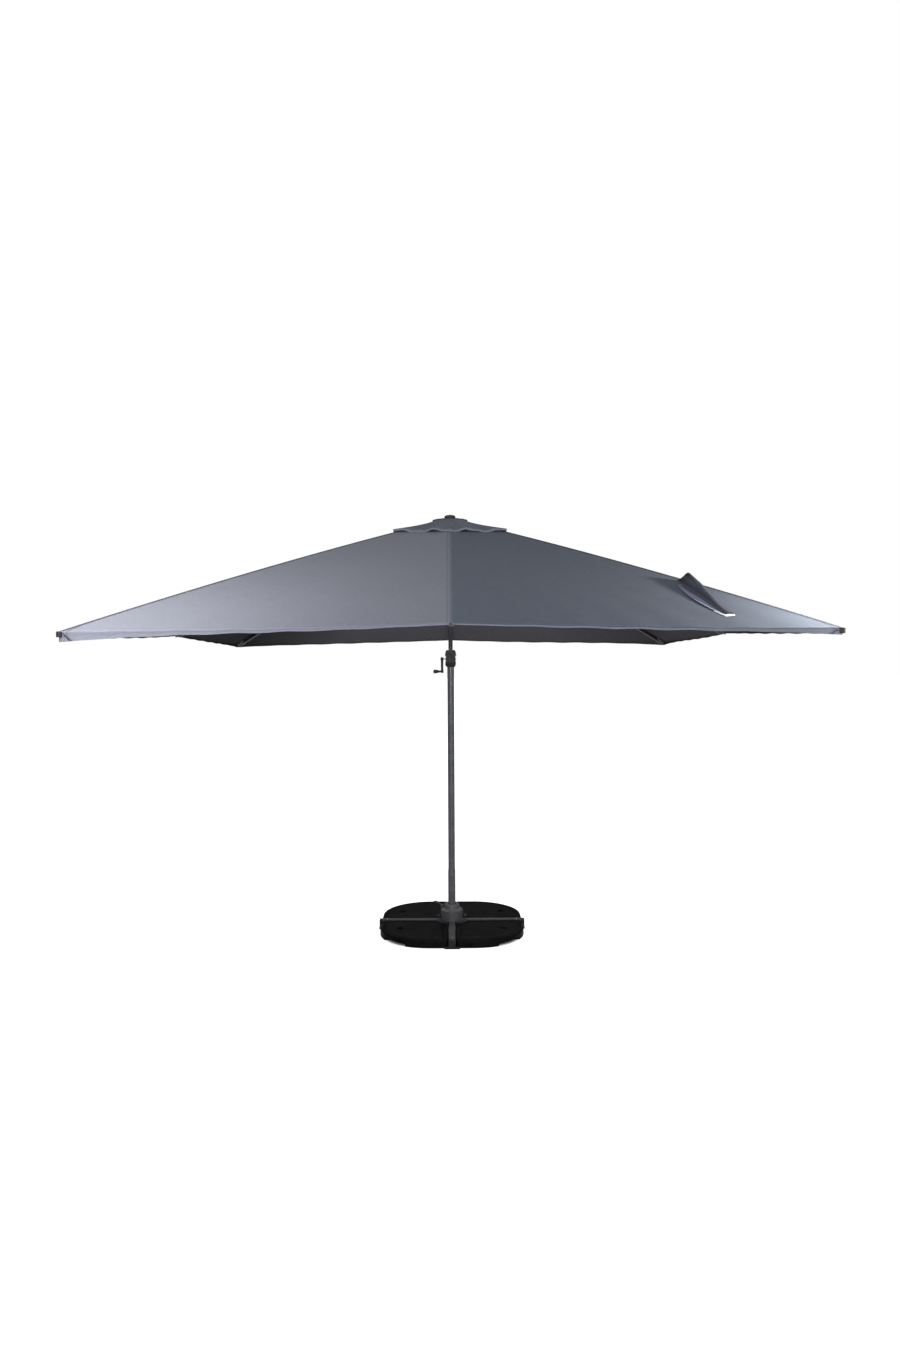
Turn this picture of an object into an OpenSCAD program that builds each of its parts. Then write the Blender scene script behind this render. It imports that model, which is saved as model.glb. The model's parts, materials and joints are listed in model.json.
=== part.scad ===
/* [Canopy] */
// Side of the square canopy
canopy_side = 3000; // [2600:10:3400]
// Height of the canopy's peak above the floor
peak_z = 2710; // [2600:5:2850]
// Fall of the canopy from its peak to its edge
canopy_fall = 580; // [500:5:640]
// Extra fall of a corner rib, from its bend
corner_bow = 70; // [40:1:90]
// Extra fall of a middle rib, from its bend
middle_bow = 45; // [30:1:60]
// Sag of the cloth between two ribs
cloth_sag = 8; // [2:1:14]
// Thickness of the cloth
cloth_t = 2; // [1:0.1:3]
// Depth of the hem at a middle rib
hem_depth = 7; // [4:0.5:10]
// Half side of the vent cap
vent_half = 290; // [240:5:340]
// Height of the vent cap's edge above the canopy
vent_lift = 17; // [12:1:24]
// Half side of the hole under the vent cap
vent_hole = 190; // [170:5:210]

/* [Ribs] */
// Width of a rib
rib_w = 16; // [12:0.5:20]
// Depth of a rib
rib_depth = 20; // [16:0.5:24]
// Wall of a rib
rib_wall = 1.8; // [1.2:0.1:2.5]
// Radius of the ring of rib hinges
hinge_ring = 70; // [66:1:74]
// Depth of the rib hinges below the canopy's peak
hinge_drop = 40; // [36:1:44]
// Angle through which each rib folds down
fold_angle = 62; // [50:1:64]
// Distance from rib hinge to stretcher pin on a middle rib
middle_arm = 692; // [650:2:720]
// Height of hub hinges above runner hinges when open
open_drop = 400; // [360:5:430]
// Thickness of one stretcher bar
bar_t = 3; // [2:0.5:4]
// Depth of a stretcher bar
bar_depth = 13; // [10:0.5:14]
// Gap between a stretcher bar and the rib it straddles
fork_gap = 0.8; // [0.5:0.1:1.2]

/* [Arm] */
// Distance from mast axis to the canopy's centre
reach = 1690; // [1680:5:1800]
// Width of the arm tube
arm_w = 31; // [26:0.5:34]
// Depth of the arm tube
arm_depth = 46; // [40:0.5:50]
// Wall of the arm tube
arm_wall = 2.5; // [2:0.1:3.5]
// Height of the arm's pivot
pivot_z = 1975; // [1950:5:1990]
// Distance of the arm's pivot in front of the mast axis
pivot_y = 18; // [14:1:20]
// Distance of the tube's end behind the canopy's centre
tube_end = 120; // [115:1:140]
// Height of the tube's axis at its end above the peak
boom_rise = 12; // [8:1:16]

/* [Mast] */
// Outside diameter of the mast
mast_d = 48; // [44:0.5:52]
// Wall of the mast
mast_wall = 2.5; // [2:0.1:3.5]
// Outside diameter of the foot sleeve
sleeve_d = 54; // [53:0.5:60]
// Height of the foot sleeve's top
sleeve_top = 430; // [350:5:500]
// Width of the crank case
case_w = 76; // [66:1:84]
// Height of the crank case
case_h = 123; // [118:1:128]
// Height of the crank case's bottom
case_z = 1890; // [1880:1:1895]
// Wall of the crank case
case_wall = 3; // [2.5:0.1:4]
// Height of the crank's shaft
shaft_z = 1948; // [1944:1:1950]
// Diameter of the crank's shaft
shaft_d = 12; // [10:0.5:14]
// Length of the crank's arm from shaft to grip
crank_len = 90; // [80:1:100]
// Length of the crank's grip
grip_len = 58; // [50:1:70]

/* [Base] */
// Width of the base across its bars
base_w = 1050; // [1000:5:1100]
// Width of a base bar
bar_w = 44; // [40:1:50]
// Height of a base bar's top
bar_top = 60; // [58:1:70]
// Height of a base bar's underside
bar_low = 15; // [12:1:20]
// Wall of a base bar
bar_wall = 2.5; // [2:0.1:4]
// Distance of an anchor bolt hole from its bar's end
anchor_inset = 35; // [30:1:45]
// Diameter of an anchor bolt hole
anchor_d = 9; // [7:0.5:11]
// Half width of the square of weights
weight_half = 520; // [500:1:530]
// Corner radius of a weight
weight_corner = 350; // [300:5:370]
// Height of a weight's top
weight_top = 58; // [50:1:62]
// Gap between a weight and the bar beside it
weight_gap = 4; // [2:0.5:8]
// Radius of a weight's top edge
weight_round = 14; // [8:1:18]
// Radius of the cover over the base's hub
cover_r = 80; // [74:1:90]
// Height of the cover's top
cover_top = 176; // [160:2:190]

/* [Fits] */
// Radial clearance of a running fit
run_gap = 0.05; // [0.02:0.01:0.1]
// Clearance beside a moving piece
side_gap = 0.5; // [0.3:0.1:0.8]
// Clearance between cloth and its neighbours
cloth_gap = 0.3; // [0.2:0.1:0.5]

/* [Hidden] */
SIDES = ["right", "rear_right", "rear", "rear_left", "left", "front_left", "front", "front_right"];
half = canopy_side / 2;
hub_z = peak_z - hinge_drop;
hub_r = hinge_ring + 15;
hub_top = hub_z + 20;
hub_low = hub_z - 20;
slot_r = hinge_ring - 20;
slot_w = rib_w + 2 * side_gap;
pin_d = 6;
eye_r = 10;
rib_root = 8;
rib_seat = 0.6;
stem_r = 13;
crown_r = hub_r + 10;
crown_z = peak_z - 5;
tongue_t = 7;
tongue_z = peak_z - 4.5;
tongue_w = 40;
finial_z = tongue_z + tongue_t;
weight_low = 2;
grip_r = 0.112 * weight_half;
cap_far = 0.7 * weight_half;
cap_near = 0.42 * weight_half;
foot_len = 62;
foot_w = 106;
anchor_ring = base_w / 2 - anchor_inset;
post_r = mast_d / 2 - mast_wall - 2 * run_gap;
post_top = sleeve_top - 47;
shaft_y = 18;
spool_r = 15;
spool_flange = 20;
case_front = -46;
case_rear = 50;
case_top = case_z + case_h;
notch_z = case_top - 44;
arm_foot_r = 22;
spigot = (arm_depth - arm_w) / 2 + 4;
arm_start = case_top + 7;
function is_corner(i) = i % 2 == 1;
function rib_len(i) = is_corner(i) ? half * sqrt(2) : half;
function rib_bow(i) = is_corner(i) ? corner_bow : middle_bow;
// height of the cloth above a middle rib or a corner rib, at the share s of its length
function line_z(i, s) = peak_z - canopy_fall * s - rib_bow(i) * s * s;
// how far the cloth falls beside a rib's ridge, within half the rib's width
function ridge_drop(i) = is_corner(i) ? canopy_fall / rib_len(i) * rib_w / 2 + rib_seat + 0.5
    : 0.01 * rib_w + rib_seat;
function rib_top(i, r) = line_z(i, r / rib_len(i)) - cloth_t - cloth_gap - ridge_drop(i);
function rib_axis(i, r) = rib_top(i, r) - rib_depth / 2;
// height of the cloth over the point (x, y), counted from the canopy's centre: a blend of the
// middle rib's line and the corner rib's line, with a small sag between them
function cloth_z(x, y) =
    let(far = max(abs(x), abs(y)), s = far / half, w = min(abs(x), abs(y)) / far)
    (1 - w) * line_z(0, s) + w * line_z(1, s) - cloth_sag * s * sin(180 * w);
function hem_z(x, y) = let(w = min(abs(x), abs(y)) / max(abs(x), abs(y))) hem_depth + 20 * pow(w, 6);
// closed linkage: the runner drops until the rib has turned by fold_angle
middle_tilt = asin((hub_z - rib_axis(0, hinge_ring + middle_arm * cos(22))) / middle_arm);
middle_sine = sin(middle_tilt + fold_angle);
open_sine = sin(middle_tilt);
closed_drop = middle_arm * middle_sine + sqrt(pow(middle_arm * middle_sine, 2)
    + open_drop * open_drop - 2 * middle_arm * open_drop * open_sine);
corner_tilt = atan((hub_z - rib_axis(1, hinge_ring + middle_arm)) / middle_arm);
corner_arm = (closed_drop * closed_drop - open_drop * open_drop)
    / (2 * (closed_drop * sin(corner_tilt + fold_angle) - open_drop * sin(corner_tilt)));
runner_z = hub_z - open_drop;
function pin_r(i) = hinge_ring + (is_corner(i) ? corner_arm * cos(corner_tilt) : middle_arm * cos(middle_tilt));
// arm curve: a tight arc, then a wide one that ends level; one arc alone would turn by chord_turn
boom_z = peak_z + boom_rise;
arc_rise = boom_z - arm_start;
arc_run = reach - tube_end - pivot_y;
chord_turn = 2 * atan(arc_run / arc_rise) - 90;
bend_angle = chord_turn + 0.384 * (90 - chord_turn);
wide_r = (arc_rise * (1 - cos(bend_angle)) - arc_run * sin(bend_angle))
    / ((1 - sin(bend_angle)) * (1 - cos(bend_angle)) - sin(bend_angle) * cos(bend_angle));
tight_r = (arc_run - wide_r * cos(bend_angle)) / (1 - cos(bend_angle));

// places a piece in the frame of rib i: x runs outwards from the canopy's centre
module at_rib(i) { translate([0, -reach, 0]) rotate([0, 0, 45 * i]) children(); }
// extrudes an outline drawn in x (outwards) and z (up) to the width w
module upright(w) { rotate([90, 0, 0]) translate([0, 0, -w / 2]) linear_extrude(w) children(); }
// extrudes an outline drawn in y and z from x0 to x1
module sideways(x0, x1) {
    translate([x0, 0, 0]) rotate([90, 0, 90]) linear_extrude(x1 - x0) children();
}
module rounded(w, h, r) {
    for (x = [-w / 2 + r, w / 2 - r], y = [-h / 2 + r, h / 2 - r]) translate([x, y]) circle(r, $fn = 24);
    square([w - 2 * r, h], center = true);
    square([w, h - 2 * r], center = true);
}
// an oval tube's outline, flat at the sides and round at the ends
module oval(w, h) {
    translate([0, (h - w) / 2]) circle(d = w, $fn = 32);
    translate([0, -(h - w) / 2]) circle(d = w, $fn = 32);
    square([w, h - w], center = true);
}

module bar_across() {
    color("#35353a") difference() {
        translate([-base_w / 2 + 20, 0, 0]) rotate([90, 0, 90]) linear_extrude(base_w - 40) difference() {
            translate([0, (bar_low + bar_top) / 2]) square([bar_w, bar_top - bar_low], center = true);
            translate([0, (bar_low + bar_top) / 2])
                square([bar_w - 2 * bar_wall, bar_top - bar_low - 2 * bar_wall], center = true);
        }
        for (a = [0, 180]) rotate([0, 0, a]) translate([anchor_ring, 0, 0])
            cylinder(d = anchor_d, h = 200, $fn = 32);
        plate_holes();
    }
}
module bars_lengthways() {
    color("#35353a") for (a = [90, 270]) rotate([0, 0, a]) difference() {
        translate([bar_w / 2 + 0.1, 0, 0]) rotate([90, 0, 90])
            linear_extrude(base_w / 2 - 20 - bar_w / 2 - 0.1) difference() {
                translate([0, (bar_low + bar_top) / 2]) square([bar_w, bar_top - bar_low], center = true);
                translate([0, (bar_low + bar_top) / 2])
                    square([bar_w - 2 * bar_wall, bar_top - bar_low - 2 * bar_wall], center = true);
            }
        translate([anchor_ring, 0, 0]) cylinder(d = anchor_d, h = 200, $fn = 32);
        plate_holes();
    }
}
module plate_holes() {
    for (a = [0:90:270]) rotate([0, 0, a]) translate([50, 0, bar_top - 20]) cylinder(d = 8.2, h = 60, $fn = 24);
}
module bar_feet() {
    color("#2b2b2f") for (a = [0:90:270]) rotate([0, 0, a]) {
        translate([base_w / 2 - 19.9, -bar_w / 2, 0]) cube([19.9, bar_w, bar_top]);
        difference() {
            translate([base_w / 2 - foot_len, -foot_w / 2, 0]) cube([foot_len, foot_w, bar_low - 0.1]);
            translate([anchor_ring, 0, -1]) cylinder(d = anchor_d, h = 40, $fn = 32);
        }
    }
}
module base_plate() {
    color("#2b2b2f") difference() {
        translate([0, 0, bar_top]) cylinder(r = cover_r - 8, h = 8, $fn = 64);
        plate_holes();
    }
}
module base_bolts() {
    color("#8a8c90") for (a = [0:90:270]) rotate([0, 0, a]) translate([50, 0, 0]) {
        translate([0, 0, bar_top - 14]) cylinder(d = 8.1, h = 22, $fn = 24);
        translate([0, 0, bar_top + 8]) cylinder(d = 14, h = 6, $fn = 6);
    }
    color("#8a8c90") for (a = [0:90:270]) rotate([0, 0, a]) translate([anchor_ring - 22, 0, bar_top]) {
        cylinder(d = 12, h = 2.5, $fn = 32);
        cylinder(d = 7, h = 5, $fn = 32);
    }
}
// a weight's outline: square at the hub, round at the outer corner, smaller all round by the inset
function weight_points(side, corner, inset) = concat([[inset, inset], [side - inset, inset]],
    [for (a = [0:4:88]) [side - corner + (corner - inset) * cos(a), side - corner + (corner - inset) * sin(a)]],
    [[side - corner, side - inset], [inset, side - inset]]);
// one weight in the quarter x > 0, y > 0, with a bevelled top and a grip undercut at its outer corner
module weight_shape() {
    inner = bar_w / 2 + weight_gap;
    side = weight_half - inner;
    difference() {
        translate([inner, inner, 0]) hull() {
            translate([0, 0, weight_low]) linear_extrude(weight_top - weight_low - weight_round)
                polygon(weight_points(side, weight_corner, 0));
            translate([0, 0, weight_top - 1]) linear_extrude(1)
                polygon(weight_points(side, weight_corner, weight_round));
        }
        translate([0, 0, -1]) cylinder(r = cover_r + 26, h = 100, $fn = 64);
        translate([base_w / 2 - foot_len - 0.5, 0, -1]) cube([foot_len + 4, foot_w / 2 + 0.5, bar_low + 1.3]);
        translate([0, base_w / 2 - foot_len - 0.5, -1]) cube([foot_w / 2 + 0.5, foot_len + 4, bar_low + 1.3]);
        rotate([0, 0, 45]) translate([weight_half * 1.155, 0, weight_low - 1])
            cylinder(r = grip_r, h = 25, $fn = 48);
    }
}
module weight(i) { color("#141416") rotate([0, 0, 90 * i]) weight_shape(); }
module filler_caps() {
    color("#1c1c1f") for (i = [0:3]) rotate([0, 0, 90 * i])
        translate([i % 2 == 0 ? cap_far : cap_near, i % 2 == 0 ? cap_near : cap_far, weight_top + 0.05]) {
            cylinder(r = 22, h = 5, $fn = 40);
            translate([-16, -3, 5]) cube([32, 6, 4]);
        }
}
module swivel_post() {
    color("#6d6f74") difference() {
        union() {
            translate([0, 0, bar_top + 8.05]) cylinder(r = 40, h = 6, $fn = 64);
            translate([0, 0, bar_top + 8.05]) cylinder(r = post_r, h = post_top - bar_top - 8.05, $fn = 64);
        }
        translate([0, 0, bar_top]) cylinder(r = post_r - 4, h = post_top, $fn = 64);
    }
}
module swivel_bearing() {
    color("#d8d8d4") difference() {
        translate([0, 0, bar_top + 14.1]) cylinder(r = sleeve_d / 2 + 3, h = 6, $fn = 64);
        translate([0, 0, bar_top]) cylinder(r = post_r + run_gap, h = 100, $fn = 64);
    }
}
module foot_cover() {
    bore = sleeve_d / 2 + 4;
    color("#37383c") difference() {
        rotate([0, 0, -30]) for (y = [-ear_y, ear_y - 4])
            translate([pedal_x - 22, y, cover_top - 50]) cube([22, 4, 30]);
        pedal_bore(pin_d + 2 * run_gap, 60);
        cylinder(r = cover_r - 30, h = 300, $fn = 96);
    }
    color("#37383c") rotate_extrude($fn = 96) polygon([
        [cover_r, bar_top + 0.05], [cover_r, cover_top - 46], [cover_r - 6, cover_top - 40],
        [cover_r - 24, cover_top - 34], [cover_r - 27, cover_top - 6], [cover_r - 33, cover_top],
        [bore, cover_top], [bore, cover_top - 5], [cover_r - 34, cover_top - 5],
        [cover_r - 31, cover_top - 8], [cover_r - 28, cover_top - 38], [cover_r - 8, cover_top - 44],
        [cover_r - 5, cover_top - 48], [cover_r - 5, bar_top + 0.05]]);
}
module cover_knobs() {
    color("#232327") for (a = [0, 180]) rotate([0, 0, a]) translate([0, 0, bar_top + 22])
        rotate([0, 90, 0]) {
            translate([0, 0, cover_r]) cylinder(d = 12, h = 8, $fn = 32);
            translate([0, 0, cover_r + 8]) cylinder(d = 32, h = 18, $fn = 12);
        }
}
pedal_x = -(cover_r - 16);
pedal_z = cover_top - 30;
ear_y = 11 + side_gap + 4;
// the pedal's pin line, at the cover's left rear
module pedal_bore(d, w) {
    rotate([0, 0, -30]) translate([pedal_x - 13, 0, pedal_z]) rotate([90, 0, 0])
        cylinder(d = d, h = w, center = true, $fn = 32);
}
module pedal_pin() { color("#8a8c90") pedal_bore(pin_d, 2 * ear_y + 4); }
// lever on its own pin
module foot_pedal() {
    color("#2b2b2f") difference() {
        pedal_shape();
        pedal_bore(pin_d + 2 * run_gap, 60);
    }
}
module pedal_shape() {
    rotate([0, 0, -30]) {
        translate([pedal_x - 13, 0, pedal_z]) rotate([90, 0, 0]) cylinder(r = 8, h = 22, center = true, $fn = 32);
        translate([0, 11, 0]) rotate([90, 0, 0]) linear_extrude(22) polygon([
            [pedal_x - 13, pedal_z - 5], [pedal_x - 13, pedal_z + 5], [pedal_x - 52, pedal_z + 18],
            [pedal_x - 54, pedal_z + 11]]);
        translate([0, 19, 0]) rotate([90, 0, 0]) linear_extrude(38) polygon([
            [pedal_x - 50, pedal_z + 12], [pedal_x - 52, pedal_z + 19], [pedal_x - 86, pedal_z + 26],
            [pedal_x - 86, pedal_z + 20]]);
    }
}

module mast_sleeve() {
    color("#55575c") rotate_extrude($fn = 96) polygon([
        [mast_d / 2 + run_gap, bar_top + 21], [sleeve_d / 2, bar_top + 21], [sleeve_d / 2, sleeve_top - 20],
        [mast_d / 2 + 0.8, sleeve_top], [mast_d / 2 + run_gap, sleeve_top]]);
}
mast_top = case_z + 26;
module mast_tube() {
    color("#55575c") difference() {
        translate([0, 0, bar_top + 21]) cylinder(d = mast_d, h = mast_top - bar_top - 21, $fn = 96);
        translate([0, 0, bar_top]) cylinder(r = mast_d / 2 - mast_wall, h = mast_top, $fn = 96);
    }
}
// outline of the crank case in y and z, smaller all round by the inset
module case_outline(inset) {
    low = case_z + inset;
    top = case_top - inset;
    front = case_front + inset;
    rear = case_rear - inset;
    polygon([[front + 20, low], [rear - 16, low], [rear, low + 30], [rear, top - 22], [rear - 22, top],
        [front + 12, top], [front, top - 14], [front, low + 34]]);
}
module case_half() {
    difference() {
        sideways(0, case_w / 2) case_outline(0);
        sideways(-1, case_w / 2 - case_wall) case_outline(case_wall);
        translate([0, 0, case_z - 1]) cylinder(r = mast_d / 2 + run_gap, h = 60, $fn = 96);
        // mouth in the top, in which the arm stands and tilts, with a notch in the front
        translate([-1, case_front - 1, case_top - 16]) cube([arm_w / 2 + 1.6, 26 - case_front, 40]);
        translate([0, case_front - 1, 0]) rotate([90, 0, 0]) mirror([0, 0, 1]) linear_extrude(8)
            polygon([[-1, notch_z], [5, notch_z], [arm_w / 2 + 0.6, case_top + 1], [-1, case_top + 1]]);
        translate([0, -pivot_y, pivot_z]) rotate([0, 90, 0])
            cylinder(d = 10 + 2 * run_gap, h = case_w + 2, center = true, $fn = 48);
        for (z = [case_z + 18, case_top - 30]) translate([0, case_rear - 12, z]) rotate([0, 90, 0])
            cylinder(d = 4.1, h = case_w + 2, center = true, $fn = 24);
    }
    // boss that carries the screw line across the case
    for (z = [case_z + 18, case_top - 30]) translate([0, case_rear - 12, z]) rotate([0, 90, 0])
        difference() {
            cylinder(d = 9, h = case_w / 2 - case_wall + 0.5, $fn = 32);
            translate([0, 0, -1]) cylinder(d = 4.1, h = case_w, $fn = 24);
        }
}
module shaft_bore() {
    translate([0, shaft_y, shaft_z]) rotate([0, 90, 0])
        cylinder(d = shaft_d + 2 * run_gap, h = case_w + 2, center = true, $fn = 48);
}
module crank_case_right() {
    color("#2f3034") difference() { case_half(); shaft_bore(); }
}
module crank_case_left() {
    color("#2f3034") difference() { mirror([1, 0, 0]) case_half(); shaft_bore(); }
}
module case_screws() {
    color("#8a8c90") for (z = [case_z + 18, case_top - 30]) translate([0, case_rear - 12, z])
        rotate([0, 90, 0]) {
            cylinder(d = 4, h = case_w, center = true, $fn = 24);
            translate([0, 0, case_w / 2 + 0.05]) cylinder(d = 8, h = 2, $fn = 32);
            translate([0, 0, -case_w / 2 - 2.05]) cylinder(d = 8, h = 2, $fn = 32);
        }
}
module arm_pivot_pin() {
    color("#8a8c90") translate([0, -pivot_y, pivot_z]) rotate([0, 90, 0]) {
        cylinder(d = 10, h = case_w, center = true, $fn = 48);
        for (side = [-1, 1]) translate([0, 0, side * (case_w / 2 + 2)])
            cylinder(d = 16, h = 3.8, center = true, $fn = 48);
    }
}
module crank_shaft() {
    color("#8a8c90") translate([0, shaft_y, shaft_z]) rotate([0, 90, 0]) {
        translate([0, 0, -case_w / 2 - 24]) cylinder(d = shaft_d, h = case_w + 26, $fn = 48);
        translate([0, 0, -24]) cylinder(r = spool_r, h = 48, $fn = 48);
        for (x = [-24, 21]) translate([0, 0, x]) cylinder(r = spool_flange, h = 3, $fn = 48);
    }
}
crank_x = -case_w / 2 - 20;
grip_z = shaft_z - crank_len;
// flat lever that hangs from the shaft, clear of the case
module crank_arm() {
    color("#232327") difference() {
        translate([crank_x - 9, 0, 0]) rotate([90, 0, 90]) linear_extrude(9) {
            translate([shaft_y, shaft_z]) circle(d = 26, $fn = 48);
            translate([shaft_y, grip_z]) circle(d = 20, $fn = 48);
            polygon([[shaft_y - 13, shaft_z], [shaft_y + 13, shaft_z], [shaft_y + 10, grip_z],
                [shaft_y - 10, grip_z]]);
        }
        shaft_bore_left(shaft_z, shaft_d + 2 * run_gap);
        shaft_bore_left(grip_z, 8 + 2 * run_gap);
    }
    color("#8a8c90") translate([crank_x - 9 - grip_len + 3, shaft_y, grip_z]) rotate([0, 90, 0]) {
        translate([0, 0, grip_len + 7.5]) cylinder(d = 13, h = 1.5, $fn = 32);
        cylinder(d = 8, h = grip_len + 8, $fn = 32);
    }
}
module shaft_bore_left(z, d) {
    translate([0, shaft_y, z]) rotate([0, -90, 0]) cylinder(d = d, h = 150, $fn = 48);
}
module crank_grip() {
    color("#232327") translate([crank_x - 9.5, shaft_y, grip_z]) rotate([0, -90, 0])
        rotate_extrude($fn = 48) polygon([[4 + run_gap, 0], [9, 0], [10.5, 4], [9.5, 16], [11, grip_len - 18],
            [13, grip_len - 8], [12, grip_len - 2], [9, grip_len], [0, grip_len], [0, grip_len - 2.5],
            [4 + run_gap, grip_len - 2.5]]);
}
// turns a shape swept in x and y into one in y and z, with its height along x
module on_edge() { rotate([90, 0, 90]) children(); }
// the arm's path: a tight arc that starts upright, then a wide arc that ends level over the canopy
module arm_path(grow) {
    translate([0, -pivot_y, arm_start]) {
        translate([0, -tight_r, 0]) on_edge()
            rotate_extrude(angle = bend_angle, $fn = 128)
                translate([tight_r, 0]) rotate(90) oval(arm_w - grow, arm_depth - grow);
        translate([0, -tight_r * (1 - cos(bend_angle)) - wide_r * cos(bend_angle),
            (tight_r - wide_r) * sin(bend_angle)]) on_edge() rotate([0, 0, bend_angle])
            rotate_extrude(angle = 90 - bend_angle, $fn = 512)
                translate([wide_r, 0]) rotate(90) oval(arm_w - grow, arm_depth - grow);
    }
}
module arm_tube() {
    color("#1b1b1e") difference() { arm_path(0); arm_path(2 * arm_wall); }
}
module arm_foot() {
    color("#1b1b1e") difference() {
        union() {
            translate([0, -pivot_y, pivot_z]) rotate([0, 90, 0])
                cylinder(r = arm_foot_r, h = arm_w - 1, center = true, $fn = 64);
            translate([-arm_w / 2 + 0.5, -pivot_y - arm_foot_r + 1, pivot_z])
                cube([arm_w - 1, 2 * arm_foot_r - 2, arm_start - pivot_z]);
            translate([-arm_w / 2 + arm_wall + 2, -pivot_y - spigot, pivot_z])
                cube([arm_w - 2 * arm_wall - 4, 2 * spigot, arm_start - pivot_z + 24]);
        }
        translate([0, -pivot_y, pivot_z]) rotate([0, 90, 0])
            cylinder(d = 10 + 2 * run_gap, h = 80, center = true, $fn = 48);
    }
}
module arm_head() {
    color("#1b1b1e") {
        translate([-tongue_w / 2, -reach - 34, tongue_z]) cube([tongue_w, tube_end + 33.9, tongue_t]);
        translate([-spigot + 3, -reach + tube_end - 8, tongue_z + 3])
            cube([2 * spigot - 6, 38, 11]);
        translate([0, -reach, hub_low + 6]) cylinder(r = stem_r, h = tongue_z - hub_low - 6, $fn = 64);
        translate([0, -reach, hub_top]) cylinder(r = 28, h = crown_z - hub_top - cloth_t - 0.8, $fn = 64);
    }
}
module top_hub() {
    color("#232327") difference() {
        translate([0, -reach, hub_low]) cylinder(r = hub_r, h = hub_top - hub_low, $fn = 96);
        translate([0, -reach, hub_low + 6]) cylinder(r = stem_r + run_gap, h = 60, $fn = 64);
        for (i = [0:7]) at_rib(i) {
            translate([slot_r, -slot_w / 2, hub_low - 1]) cube([60, slot_w, 60]);
            pin_line(hinge_ring, hub_z, pin_d, slot_w + 24);
        }
    }
}
// a pin across rib i's line
module pin_line(r, z, d, w) {
    translate([r, 0, z]) rotate([90, 0, 0]) cylinder(d = d, h = w, center = true, $fn = 32);
}
module hub_pins() {
    color("#8a8c90") for (i = [0:7]) at_rib(i) pin_line(hinge_ring, hub_z, pin_d, slot_w + 23.8);
}
module finial() {
    color("#232327") translate([0, -reach, finial_z]) rotate_extrude($fn = 64)
        polygon([[0, 0], [30, 0], [30, 6], [27, 10], [18, 13], [0, 14]]);
}
module vent_crown() {
    drop = 9;
    color("#6d6f78") translate([0, -reach, crown_z]) rotate_extrude($fn = 64) polygon([
        [stem_r + 0.3, 0], [40, -1], [70, -drop / 2], [crown_r, -drop], [crown_r, -drop - cloth_t],
        [70, -drop / 2 - cloth_t], [40, -1 - cloth_t], [stem_r + 0.3, -cloth_t]]);
}
module lift_cord() {
    color("#c8c8c4") translate([0, -reach, runner_z + 22]) cylinder(d = 5, h = hub_low - runner_z - 22, $fn = 24);
}
module runner_hub() {
    fork_w = rib_w + 2 * (fork_gap + bar_t + side_gap);
    color("#232327") difference() {
        translate([0, -reach, runner_z - 18]) union() {
            cylinder(r = hinge_ring + 14, h = 36, $fn = 96);
            cylinder(r = 24, h = 40, $fn = 64);
        }
        for (i = [0:7]) at_rib(i) {
            translate([slot_r, -fork_w / 2, runner_z - 30]) cube([60, fork_w, 80]);
            pin_line(hinge_ring, runner_z, pin_d, fork_w + 16);
        }
    }
}
module runner_pins() {
    fork_w = rib_w + 2 * (fork_gap + bar_t + side_gap);
    color("#8a8c90") for (i = [0:7]) at_rib(i) pin_line(hinge_ring, runner_z, pin_d, fork_w + 15.8);
}
// rib i: a curved bar on a root eye, with a cap over its tip
module rib(i) {
    len = rib_len(i);
    start = hinge_ring + rib_root;
    end = 0.972 * len;
    steps = 10;
    along = [for (k = [0:steps]) start + (end - start) * k / steps];
    color("#1b1b1e") at_rib(i) difference() {
        union() {
            upright(rib_w) polygon(concat(
                [[hinge_ring, hub_z + eye_r]], [for (r = along) [r, rib_top(i, r)]],
                [for (k = [steps:-1:0]) [along[k], rib_top(i, along[k]) - rib_depth]], [[hinge_ring, hub_z - eye_r]]));
            pin_line(hinge_ring, hub_z, 2 * eye_r, rib_w);
            upright(rib_w + 4) polygon([
                [0.965 * len, rib_top(i, 0.965 * len) - 1.5], [0.98 * len, rib_top(i, 0.98 * len) - 1.5],
                [0.98 * len, rib_top(i, 0.98 * len) - rib_depth - 2], [0.965 * len, rib_top(i, 0.965 * len) - rib_depth - 2]]);
            pin_line(pin_r(i), rib_axis(i, pin_r(i)), pin_d, rib_w + 2 * fork_gap - 0.4);
        }
        pin_line(hinge_ring, hub_z, pin_d + 2 * run_gap, 60);
        // the bar is a tube, closed at both ends
        upright(rib_w - 2 * rib_wall) polygon(concat(
            [for (r = along) if (r > start + 1 && r < end - 1) [r, rib_top(i, r) - rib_wall]],
            [for (k = [steps:-1:0]) if (along[k] > start + 1 && along[k] < end - 1)
                [along[k], rib_top(i, along[k]) - rib_depth + rib_wall]]));
    }
}
// stretcher i: two bars that straddle the rib, from the runner's pin to beside the rib's pin
module stretcher(i) {
    rise = rib_axis(i, pin_r(i)) - runner_z;
    run = pin_r(i) - hinge_ring;
    length = sqrt(rise * rise + run * run);
    tilt = atan(rise / run);
    side = rib_w / 2 + fork_gap;
    color("#232327") at_rib(i) translate([hinge_ring, 0, runner_z]) rotate([0, -tilt, 0]) difference() {
        union() {
            for (y = [-side - bar_t, side]) translate([0, y + bar_t, 0]) rotate([90, 0, 0]) linear_extrude(bar_t) {
                circle(d = bar_depth, $fn = 32);
                translate([length, 0]) circle(d = bar_depth, $fn = 32);
                translate([0, -bar_depth / 2]) square([length, bar_depth]);
            }
            translate([26, -side - 0.5, -bar_depth / 2 + 2]) cube([8, 2 * side + 1, bar_depth - 4]);
            rotate([90, 0, 0]) cylinder(d = bar_depth, h = 2 * side + 1, center = true, $fn = 32);
        }
        rotate([90, 0, 0]) cylinder(d = pin_d + 2 * run_gap, h = 60, center = true, $fn = 32);
    }
}

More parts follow.
